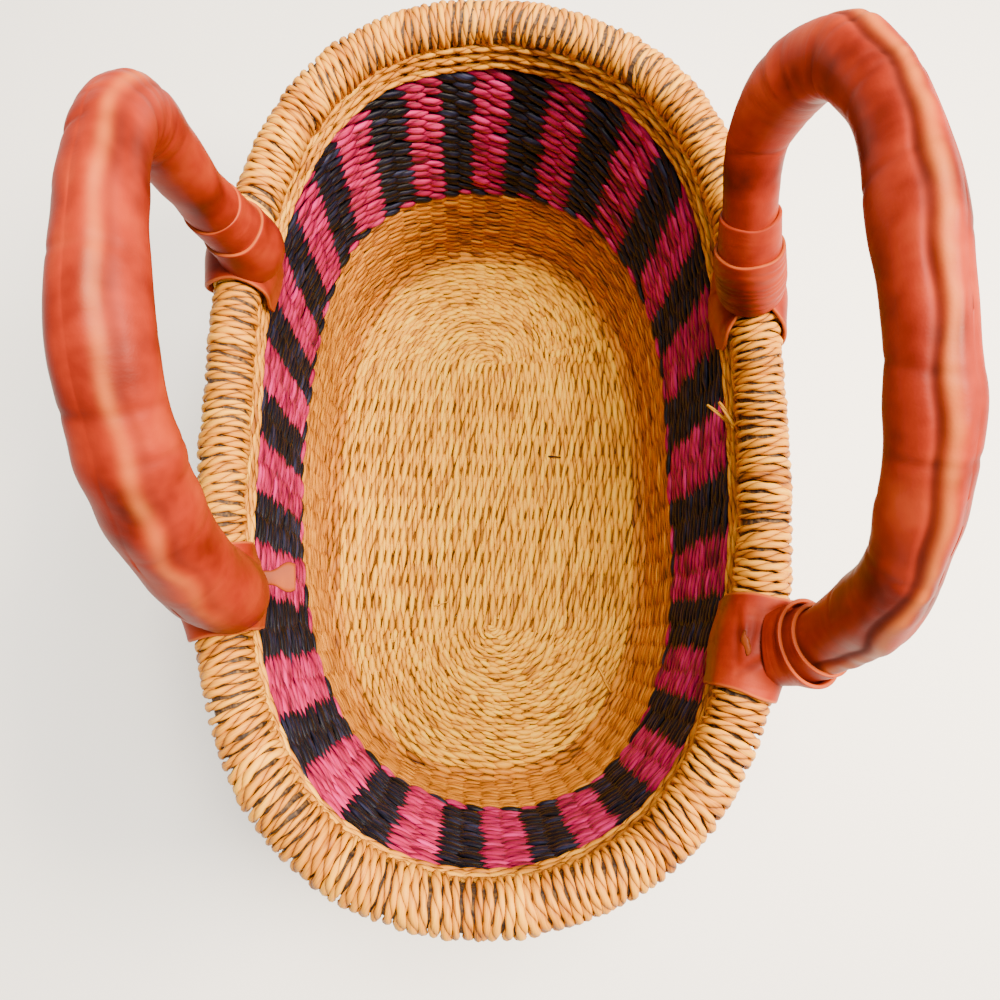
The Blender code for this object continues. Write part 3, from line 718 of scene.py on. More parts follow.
@dataclass(frozen=True)
class BasketBody:
    """Floor, wall, rope rows and wound rim, with sizes in millimetres.

    Attributes:
        oval: The oval of its rings.
        stakes: Its stakes.
        wall_middle: Outset of the wall's middle.
        bend_radius: Radius of the bend between floor and wall, at the wall's middle.
        bend_outset: Outset of the bend's centre line.
        bend_level: Its height.
        border_bottom: Height of the border row's lower edge.
        band_bottom: Height of the dyed band's lower edge.
        band_top: Height of its upper edge, where the rope rows start.
        rope_pitch: Height of a rope row.
        roll_height: Height of the rim roll's middle.
        roll_outset: Its outset.
        roll_radii: Radii of the wound roll round the rim, drawn tighter at the far end.
        wrap_lean: Lean of the winding's turns round the rim.
        stake_bend: Heights between which the stakes bend out into the roll.
        stake_outset: How far they bend out.
        stake_gap: How far below the roll's middle they end.
        stake_steps: Sections along a stake in each part of the wall.
    """

    oval: Oval = Oval()
    stakes: Stakes = Stakes()
    wall_middle: float = 2.5
    bend_radius: float = 8.5
    bend_outset: float = -6.0
    bend_level: float = 11.0
    border_bottom: float = 68.0
    band_bottom: float = 73.0
    band_top: float = 155.0
    rope_pitch: float = 5.0
    roll_height: float = 175.0
    roll_outset: float = 7.7
    roll_radii: tuple[float, ...] = (
        9.8, 9.6, 9.0, 8.5, 8.4, 8.7, 9.2, 9.0, 8.8, 9.6, 10.4, 10.2, 9.6, 9.6, 10.4, 10.3)
    wrap_lean: tuple[float, ...] = (
        0.3, 0.8, -0.4, 0.2, -1.6, -2.4, -1.2, 0.4, 0.9, 0.2, 1.2, 1.8, 0.6, -0.6, -0.2, 0.5)
    stake_bend: tuple[float, float] = (164.0, 171.0)
    stake_outset: float = 4.0
    stake_gap: float = 6.0
    stake_steps: int = 24

    def wall_place(self, middle: float, rough: Array) -> Place:
        """Place strand points on the upright wall round a row at a height.

        Args:
            middle: The row's height.
            rough: A closed table of small rises and falls of the row.

        Returns:
            A function from stake, inward and upward offsets to points.
        """
        def place(stake: Array, inward: Array, up: Array) -> Array:
            """Point on the wall."""
            turn = self.stakes.turn(self.oval, stake)
            wave = round_table(rough, stake / self.stakes.count * len(rough))
            return self.oval.point(turn, self.wall_middle - inward, middle + up + wave)
        return place

    def up_the_wall(self, travelled: Array) -> tuple[Array, Array, Array]:
        """Outset, height and steepness of the wall's middle at a way from the bend's start.

        The bend is a quarter circle, and the wall above it is upright.

        Args:
            travelled: Distance along the wall's middle.

        Returns:
            Outset, height and angle from level, in radians.
        """
        angle = np.clip(travelled / self.bend_radius, 0.0, TAU / 4)
        above = np.maximum(travelled - self.bend_radius * TAU / 4, 0.0)
        outset = self.bend_outset + self.bend_radius * np.sin(angle)
        return outset, self.bend_level - self.bend_radius * np.cos(angle) + above, angle

    def lower_place(self, travelled: float) -> Place:
        """Place strand points on the bottom bend or the wall above it.

        At the angle b the upward way is (cos b, sin b) and the inward way (-sin b, cos b), in
        outset and height.

        Args:
            travelled: Distance of the row from the floor's edge along the wall's middle.

        Returns:
            A function from stake, inward and upward offsets to points.
        """
        outset, level, angle = self.up_the_wall(travelled)
        cosine, sine = np.cos(angle), np.sin(angle)

        def place(stake: Array, inward: Array, up: Array) -> Array:
            """Point on the bend or wall."""
            return self.oval.point(
                self.stakes.turn(self.oval, stake), outset + cosine * up - sine * inward,
                level + sine * up + cosine * inward)
        return place

    def build_band(self, finish: Material) -> None:
        """Weave the dyed band: fifteen rows in upright stripes."""
        rows = 15
        pitch = (self.band_top - self.band_bottom) / rows
        weave = Weave(1.35, 0.5 * pitch, 0.42 * pitch, 1.1, jitter=0.35, reach=0.96, skew=0.32)
        draw = np.random.default_rng(11)
        bumps = self.stakes.count // 2
        ripple = draw.normal(0.0, 0.5, bumps)
        roughs = [ripple * (row / rows)**2 + draw.normal(0.0, 0.12, bumps) for row in range(rows)]
        weave_faces(("dyed_band_weave", "dyed_band_outer_weave"), lambda face: [weave.ring(
            self.wall_place(self.band_bottom + (row + 0.5) * pitch, rough), self.stakes.count,
            face, self.stakes.dye, draw) for row, rough in enumerate(roughs)],
            finish, "dyed_band")

    def build_border(self, finish: Material) -> None:
        """Weave the border row: one pink and one dark strand twisted together."""
        height = self.band_bottom - self.border_bottom
        weave = Weave(1.7, 0.3 * height, 0.4 * height, 1.3, sides=8, waist=0.3, reach=0.72)
        draw = np.random.default_rng(12)
        rough = draw.normal(0.0, 0.2, self.stakes.count // 2)
        place = self.wall_place(self.border_bottom + 0.5 * height, rough)
        made = [weave.ring(place, self.stakes.count, face,
                           lambda number, shift=shift: (number + shift) % 2.0, draw)
                for shift, face in enumerate((Face.INNER, Face.OUTER))]
        new_piece("border_row_twist", joined(made), finish, Body.BASKET,
                  ["border_row"])

    def build_lower_wall(self, finish: Material) -> None:
        """Weave the bottom bend and the natural wall up to the border row."""
        rows = 16
        length = self.bend_radius * TAU / 4 + self.border_bottom - self.bend_level
        pitch = length / rows
        weave = Weave(1.35, 0.36 * pitch, 0.44 * pitch, 1.05, reach=0.88, fullness=0.6)
        draw = np.random.default_rng(13)
        weave_faces(("lower_wall_weave", "lower_wall_outer_weave"), lambda face: [weave.ring(
            self.lower_place((row + 0.5) * pitch), self.stakes.count, face, undyed, draw)
            for row in range(rows)], finish, "lower_wall")

    def build_rope_rows(self, finish: Material) -> None:
        """Weave three rope rows of three strands each.

        A strand passes in front of two stakes and behind the third. With p its phase in
        stakes, modulo three, it stands in front by sin(pi p / 2) up to p = 2 and behind by
        sin(pi (p - 2)) after that; it climbs evenly while in front and drops behind.
        """
        steps, count = 6, self.stakes.count
        depth, half_width, half_thickness = 1.55, 1.42, 1.25
        passes, lane = count // 3, np.arange(3)[:, None]
        draw = np.random.default_rng(14)
        stake = np.arange(count * steps) / steps
        turn = self.stakes.turn(self.oval, stake)
        ripple = draw.normal(0.0, 0.5, count // 2)
        phase, number = (stake + lane) % 3.0, ((stake + lane) // 3).astype(int) % passes
        for row, name in enumerate(("lower", "middle", "upper")):
            inward = depth * np.where(
                phase < 2.0, np.sin(np.pi * phase / 2.0), -np.sin(np.pi * (phase - 2.0)))
            climb = np.where(phase < 2.0, phase - 1.0, 1.0 - 2.0 * smooth_step(phase, 2.0, 3.0))
            stray = draw.normal(0.0, 0.22, (3, passes))[lane, number]
            middle = self.band_top + (row + 0.5) * self.rope_pitch
            wave = round_table(ripple * (1.0 - 0.3 * row), stake / 2.0)
            height = middle + 1.2 * climb + stray + wave + 0.35 * row
            paths = self.oval.point(turn, self.wall_middle - inward, height)
            swell = 0.82 + 0.22 * np.clip(inward / depth, 0.0, 1.0)
            tone = draw.normal(0.02, 0.12, (3, passes))[lane, number]
            surface = strands(
                paths, np.broadcast_to(UP, paths.shape), half_width * swell,
                half_thickness * swell, 6, True, {"tone": tone}, draw.uniform(0, 400, 3))
            new_piece("rope_row_twist_" + name, surface, finish, Body.BASKET,
                      ["rope_row_" + name])

    def build_rim_wrap(self, finish: Material) -> None:
        """Wind one flat strand round the rim roll.

        Turn w of the winding lies at an even distance along the rim; an angle a round the
        roll puts the strand at its middle plus radius (cos a outward + sin a up). Each turn
        leans and bows a little along the rim, by a cosine and a double sine of a. The strand
        has two plies that turn round each other: it is broad and flat where they lie abreast,
        at whole and half turns, and narrow and thick between.
        """
        windings, steps, twist, marks = 256, 40, 17.0, 2048
        draw = np.random.default_rng(15)
        winding = np.arange(windings * steps) / steps
        even, length = self.oval.even_turns(marks, self.roll_outset, self.roll_height)
        angle = TAU * (winding % 1.0) - TAU / 4
        slow = round_table(self.wrap_lean, winding / windings * len(self.wrap_lean))
        lean = slow + round_table(draw.normal(0.0, 1.0, windings // 3), winding / 3.0)
        bow = round_table(draw.normal(0.0, 0.55, windings // 2), winding / 2.0)
        own = round_table(draw.normal(0.0, 0.34, windings), winding)
        shift = lean * np.cos(angle) + bow * np.sin(2.0 * angle + 0.6) + own + 0.5
        mark = (winding / windings * marks + shift / length * marks) % marks
        turn = np.interp(mark, np.arange(marks + 1), np.append(even, TAU))
        middle = self.oval.point(turn, self.roll_outset, self.roll_height)
        outward = self.oval.outward(turn, self.roll_height)
        away = outward * np.cos(angle)[:, None] + UP * np.sin(angle)[:, None]
        height = round_table(draw.normal(0.0, 0.28, windings), winding)
        thickness = 1.3
        reach = round_table(self.roll_radii, turn / TAU * len(self.roll_radii)) - thickness + height
        paths = (middle + away * reach[:, None])[None]
        rim = np.cross(UP, outward)[None]
        travelled = np.cumsum(np.linalg.norm(np.diff(paths[0], axis=0, prepend=paths[0, :1]),
                                             axis=-1))
        abreast = np.abs(np.cos(TAU * travelled / twist))
        width = 1.54 * (1.0 + 0.15 * round_table(draw.normal(0.0, 1.0, windings), winding))
        width = width * (1.0 + 0.16 * np.cos(angle)) * (0.8 + 0.34 * abreast)
        thickness = thickness * (1.12 - 0.24 * abreast)
        tone = round_table(draw.normal(0.0, 0.1, windings), winding)
        surface = strands(paths, rim, width[None], thickness[None], 8, True,
                          {"tone": tone[None]})
        new_piece("rim_winding", surface, finish, Body.BASKET, ["rim_wrap"])

    def build_stakes(self, straw: Material, dyed: Material) -> None:
        """Raise the stakes inside the wall: flat bundles a little broader than their spacing.

        Args:
            straw: Finish of the natural parts, below and above the dyed band, coloured darker than
                the strands as painted shade in the slits between strokes.
            dyed: Finish inside the dyed band, in the strands' pink and dark, darkened as painted
                shade in the slits between strokes.
        """
        bend = self.bend_radius * TAU / 4
        band = bend + self.band_bottom - self.bend_level
        rope = bend + self.band_top - self.bend_level
        top = bend + self.roll_height - self.stake_gap - self.bend_level
        draw = np.random.default_rng(16)
        spans = (("wall_stakes_lower", self.bend_outset, band, straw),
                 ("wall_stakes_dyed", band, rope, dyed),
                 ("wall_stakes_upper", rope, top, straw))
        for name, low, high, finish in spans:
            travelled = np.linspace(low, high, self.stake_steps)
            stake = np.arange(self.stakes.count) + 0.0
            sides = [self.stake_paths(stake + step, travelled) for step in (-0.5, 0.0, 0.5)]
            surface = stake_strips(sides, np.inf, self.stakes.dye(stake)[:, None], draw)
            new_piece(name, surface, finish, Body.BASKET)

    def stake_paths(self, stake: Array, travelled: Array) -> Array:
        """Lines up the middle of the wall, from the bottom bend on.

        Args:
            stake: Stake numbers, (lines,).
            travelled: Distances from the start of the bend, (steps,).

        Returns:
            Points, (lines, steps, 3).
        """
        outset, level, _ = self.up_the_wall(travelled)
        outset = (outset + np.minimum(travelled, 0.0)
                  + self.stake_outset * smooth_step(level, *self.stake_bend)
                  + 0.2 * np.cos(np.pi * stake)[:, None])
        return self.oval.point(self.stakes.turn(self.oval, stake)[:, None], outset, level)


@dataclass(frozen=True)
class Floor:
    """Twined floor: rings round a middle seam, over crosswise and fanned-out stakes.

    Rays leave the seam squarely along the sides and fan out round its two ends. Ring q of a
    ray lies at the share q of the way from the seam to the floor's edge.

    Attributes:
        rings: How many rings there are.
        seam_x: Where the seam lies across the basket, in millimetres.
        seam_y: Where it starts and ends along the basket.
        side_stakes: Stakes along each side of the seam.
        end_stakes: Stakes round each end of the seam, up to a share of the way to the edge.
        middle: Height of the weave's middle.
        farthest: More than the longest ray's length.
        halvings: Steps in which a ray's end on the edge is closed in.
        steps: Sections along a stake.
        overlap: How far the seam's spine reaches past its ends.
    """

    rings: int = 20
    seam_x: float = 1.4
    seam_y: tuple[float, float] = (-73.0, 83.0)
    side_stakes: int = 12
    end_stakes: tuple[tuple[float, int], ...] = ((0.12, 4), (0.27, 8), (0.52, 15), (1.0, 30))
    middle: float = 2.5
    farthest: float = 200.0
    halvings: int = 40
    steps: int = 24
    overlap: float = 1.5

    def rays(self, stake: Array, end_stakes: int, oval: Oval, inset: float) -> tuple[Array, Array]:
        """Start on the seam and vector to the floor's edge for stake numbers round a ring.

        Args:
            stake: Stake numbers, from the near end of the right side anticlockwise.
            end_stakes: How many stakes each end has in this ring.
            oval: The body's oval.
            inset: How far the floor's edge lies inside the oval.

        Returns:
            Starts and vectors, each (steps, 2).
        """
        side, end = self.side_stakes, end_stakes
        half = side + end
        second = stake >= half
        local = np.where(second, stake - half, stake)
        near, far = self.seam_y
        along = np.clip(local / side, 0.0, 1.0)
        fan = np.clip((local - side) / end, 0.0, 1.0) * np.pi
        y = near + (far - near) * along
        y = np.where(second, far + near - y, y)
        bearing = np.where(second, fan + np.pi, fan)
        way = np.stack([np.cos(bearing), np.sin(bearing)], axis=-1)
        start = np.stack([np.full_like(y, self.seam_x), y], axis=-1)
        half_width, half_length = oval.half_widths[0] - inset, oval.half_lengths[0] - inset
        low, high = np.zeros(len(y)), np.full(len(y), self.farthest)
        for _ in range(self.halvings):
            reach = 0.5 * (low + high)
            spot = start + way * reach[:, None]
            outside = (np.abs(spot[:, 0] / half_width)**oval.power
                       + np.abs(spot[:, 1] / half_length)**oval.power) > 1.0
            low, high = np.where(outside, low, reach), np.where(outside, reach, high)
        return start, way * low[:, None]

    def ring_place(self, share: float, end_stakes: int,
                   body: BasketBody) -> Place:
        """Place strand points on a ring.

        Args:
            share: The ring's share of the way from the seam to the edge.
            end_stakes: How many stakes each end has there.
            body: The basket body.

        Returns:
            A function from stake, inward and upward offsets to points; up leads outward.
        """
        stakes = 2 * (self.side_stakes + end_stakes)

        def place(stake: Array, inward: Array, up: Array) -> Array:
            """Point on the floor."""
            start, reach = self.rays(stake.ravel() % stakes, end_stakes, body.oval,
                                     -body.bend_outset)
            start, reach = (part.reshape(stake.shape + (2,)) for part in (start, reach))
            flat = start + reach * share + unit(reach) * up[..., None]
            return np.concatenate([flat, (self.middle + inward)[..., None]], axis=-1)
        return place

    def build(self, body: BasketBody, finish: Material,
              inner: Material) -> None:
        """Weave the floor's rings, the face toward the basket's inside and the underside.

        Args:
            body: The basket body.
            finish: The strands' material.
            inner: The material of the stakes between them, coloured darker than the strands as
            painted shade in the slits.
        """
        draw = np.random.default_rng(21)
        weave = Weave(1.35, 1.8, 1.85, 0.95, jitter=0.22, reach=0.9, fullness=0.6)
        shares = (np.arange(self.rings) + 0.5) / self.rings
        rings = [(share, next(count for limit, count in self.end_stakes if share < limit))
                 for share in shares]
        weave_faces(("floor_rings", "floor_underside_rings"), lambda face: [weave.ring(
            self.ring_place(share, ends, body), 2 * (self.side_stakes + ends), face, undyed, draw)
            for share, ends in rings], finish, "floor_weave")
        self.build_stakes(body, inner, draw)

    def build_stakes(self, body: BasketBody, finish: Material,
                     draw: np.random.Generator) -> None:
        """Lay the floor's stakes between the strands, from near the seam to the edge."""
        end_stakes = self.end_stakes[-1][1]
        count = 2 * (self.side_stakes + end_stakes)
        stake = np.arange(count) + 0.0
        share = np.linspace(0.02, 1.03, self.steps)
        lines = []
        for step in (-0.5, 0.0, 0.5):
            start, reach = self.rays((stake + step) % count, end_stakes, body.oval,
                                     -body.bend_outset)
            flat = start[:, None] + reach[:, None] * share[:, None]
            level = self.middle + 0.2 * np.cos(np.pi * stake)[:, None] + 0.0 * flat[..., 0]
            lines.append(np.concatenate([flat, level[..., None]], -1))
        rays = stake_strips(lines, 8.0, np.zeros((count, 1)), draw)
        along = np.linspace(self.seam_y[0] - self.overlap, self.seam_y[1] + self.overlap,
                            self.steps)
        seam = np.stack([0.0 * along + self.seam_x, along, 0.0 * along + self.middle], -1)[None]
        across = np.broadcast_to([1.0, 0.0, 0.0], seam.shape)
        # The seam's spine is darkened like the stakes: painted shade.
        spine = strands(seam, across, 2.0, 0.7, 6, False, {"tone": -0.2, "dye": 0.0})
        new_piece("floor_stakes", joined([rays, spine]), finish, Body.BASKET)


# Leather


@dataclass(frozen=True)
class PolishedLeather:
    """Cattle hide, dyed orange red with plant dyes, rubbed smooth and pulled on while wet.

    It shows a satin shine on its crowns, fine creases across the tubes where it was drawn
    round a bend, a faint pebbled grain of about 0.7 mm and golden cut edges. The paler edge
    colour on the sleeve's sewn ridge is partly the lapped cut edge and partly painted
    highlight; the dark colour in grooves and creases is painted shade, and the creases also
    darken their valleys and lighten their crests in colour as painted shade and light.

    Attributes:
        name: The material's name.
        stops: Colours of the stains and creases, from the darkest to the palest.
        edge: Colour of its cut edges, and of the painted highlight on the sewn
            ridge.
        hollow: Colour of the painted shade in its grooves and deep creases.
        crease_pitch: Distance between fine creases in millimetres.
        breaks: How often a crease breaks off in one turn round a tube.
        grain: Size of the pebbles in millimetres.
        patch: Size of the stains in millimetres.
    """

    name: str
    stops: tuple[tuple[float, str], ...]
    edge: str = "#c4682c"
    hollow: str = "#3c0e06"
    crease_pitch: float = 3.2
    breaks: float = 2.4
    grain: float = 0.7
    patch: float = 22.0

    def build(self) -> Material:
        """Make the material, which reads the piece's places, crease and edge values."""
        material, shader = new_material(self.name)
        add = partial(node, material)
        spot = add("TexCoord").outputs["Object"]
        crease, edge, hollow = (add("Attribute", {"attribute_name": name}).outputs["Fac"]
                                for name in ("crease", "edge", "hollow"))
        stretched = add("Mapping", inputs={
            "Vector": add("UVMap", {"uv_map": "place"}),
            "Scale": (1.0 / self.crease_pitch, self.breaks, 1.0)})
        creases = add("TexNoise", inputs={
            "Vector": stretched, "Scale": 1.0, "Detail": 2.0, "Roughness": 0.5,
            "Distortion": 0.35})
        patches = add("TexNoise", inputs={
            "Vector": spot, "Scale": 1.0 / (self.patch * MM), "Detail": 3.0, "Roughness": 0.55})
        grain = add("TexVoronoi", inputs={
            "Vector": spot, "Scale": 1.0 / (self.grain * MM), "Randomness": 1.0})
        # The crease value lowers the bump's valleys and also darkens their colour, lightening the
        # crests: painted shade and light along the creases.
        lined = add("Math", {"operation": "MULTIPLY"}, {0: creases, 1: crease})
        level = add("Math", {"operation": "MULTIPLY_ADD"}, {0: lined, 1: 0.25, 2: patches})
        edge_and_highlight_mix = add("Mix", {"data_type": "RGBA"}, {
            0: edge, 6: ramp(material, level, self.stops), 7: linear(self.edge)})
        # The hollow value mixes in the dark colour: painted shade in grooves and creases.
        mixed = add("Mix", {"data_type": "RGBA"}, {
            0: hollow, 6: edge_and_highlight_mix.outputs[2], 7: linear(self.hollow)})
        rough = add("MapRange", inputs={
            "Value": patches, "From Min": 0.3, "From Max": 0.7, "To Min": 0.4, "To Max": 0.56})
        dull = add("Math", {"operation": "MULTIPLY_ADD"}, {0: hollow, 1: 0.5, 2: rough})
        pebbled = add("Bump", inputs={
            "Height": grain, "Strength": 0.18, "Distance": 0.1 * MM})
        wrinkled = add("Bump", inputs={
            "Height": lined, "Strength": 1.0, "Distance": 0.5 * MM, "Normal": pebbled})
        wire(shader, {"Base Color": mixed.outputs[2], "Roughness": dull, "Normal": wrinkled,
                      "IOR": 1.45, "Specular IOR Level": 0.14})
        return material


def cut_edges(turned: Array, middle: Array) -> tuple[Array, Array]:
    """Rows across leather whose two cut edges are rounded and turned under.

    Args:
        turned: Shares of the way across at one edge, from its hidden side to its face.
        middle: Shares between the edges.

    Returns:
        The rows' shares, and how deep each lies below the leather's face in millimetres.
    """
    depth = np.array([-1.5, -1.5, -1.2, -0.75, -0.3, -0.06, 0.0])[-len(turned):]
    return (np.concatenate([turned, middle, 1.0 - turned[::-1]]),
            np.concatenate([depth, 0.0 * middle, depth[::-1]]))


@dataclass(frozen=True)
class Leg:
    """One end of a handle's middle line, counted from the rim roll's middle upward."""

    points: Array
    radii: Array
    outward: Array

    def marks(self) -> Array:
        """Distances of the points from the foot."""
        steps = np.linalg.norm(np.diff(self.points, axis=0), axis=1)
        return np.concatenate([[0.0], np.cumsum(steps)])

    def frame(self, height: Array) -> tuple[Array, Array, Array, Array]:
        """Middle, axis, outward way and tube radius at distances from the foot.

        Below the foot the line goes on straight.

        Returns:
            Points, unit axes, unit outward ways square to the axes, and radii.
        """
        marks = self.marks()
        inside = np.clip(height, 0.0, marks[-1])
        centre = np.stack([np.interp(inside, marks, self.points[:, i]) for i in range(3)], -1)
        tangents = directions(self.points, False)
        axis = unit(np.stack([np.interp(inside, marks, tangents[:, i]) for i in range(3)], -1))
        centre = centre + axis * (height - inside)[..., None]
        across = unit(self.outward - (axis * self.outward).sum(-1, keepdims=True) * axis)
        return centre, axis, across, np.interp(inside, marks, self.radii)

    def shell(self, heights: Array, lifts: Array, turns: Array, squeeze: Array, around: Array,
              values: dict[str, Array]) -> Surface:
        """Leather round the leg.

        Point (i, j) is middle(h) + rx cos(a) outward + ry sin(a) rimward, with h the height,
        ry the tube's radius plus the lift, and rx the same times the squeeze.

        Args:
            heights: Height for each row and turn, (rows, turns).
            lifts: Lift for each row and turn.
            turns: Angles round the leg from its outward side.
            squeeze: Width across the rim as a share of the width along it.
            around: Place round the leg for each turn and for the first turn again.
            values: Named numbers for each row and turn.

        Returns:
            The surface.
        """
        centre, axis, across, radius = self.frame(heights)
        reach = radius + lifts
        points = (centre + (reach * squeeze * np.cos(turns))[..., None] * across
                  + (reach * np.sin(turns))[..., None] * np.cross(axis, across))
        travelled = np.pad(heights[:, :1], ((0, 1), (0, 0)), mode="edge")
        places = np.stack(np.broadcast_arrays(travelled, around), axis=-1)
        return grid(points[None], places[None], (False, True), values)


@dataclass(frozen=True)
class SaddleShape:
    """Leather folded over the rim roll and down inside the wall.

    Attributes:
        name: Which foot.
        distance: Where the hinge line crosses the rim, along the basket.
        near: Reach toward the near end, at even steps from the outer edge over the roll to
            the inner edge.
        far: The same toward the far end.
        edge_radius: Radius round the roll at its near and far edge.
        crown_radius: Radius at its middle.
        inner_level: Height of its lower edge inside the basket.
        outer_angle: Angle of its outer edge below level, in degrees.
        folds: Soft folds and, below zero, creases: place along the rim from the middle,
            bearing round the roll, length, breadth, height and slant.
    """

    name: str
    distance: float
    near: tuple[float, ...]
    far: tuple[float, ...]
    edge_radius: float = 11.5
    crown_radius: float = 13.4
    inner_level: float = 158.0
    outer_angle: float = 62.0
    folds: tuple[tuple[float, float, float, float, float, float], ...] = ()


@dataclass(frozen=True)
class Cuff:
    """Leather band round a leg, with rounded cut edges.

    Attributes:
        name: The piece's name.
        node_name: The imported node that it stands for.
        from_far: Whether it is on the far leg.
        low: Distance of its lower edge from the foot.
        high: Distance of its upper edge.
        lift: How far it stands proud of the tube.
        creases: Strength of its creases.
        bright: Paleness of its cut edges.
        flare: How much farther its upper edge stands out.
        slant: How far its edges lean along the leg, on the outward and the far side.
        ridges: Height of the folds round it.
        fold_pitch: Distance between them.
    """

    name: str
    node_name: str
    from_far: bool
    low: float
    high: float
    lift: float
    creases: float
    bright: float
    flare: float = 0.0
    slant: tuple[float, float] = (0.0, 0.0)
    ridges: float = 0.0
    fold_pitch: float = 2.6


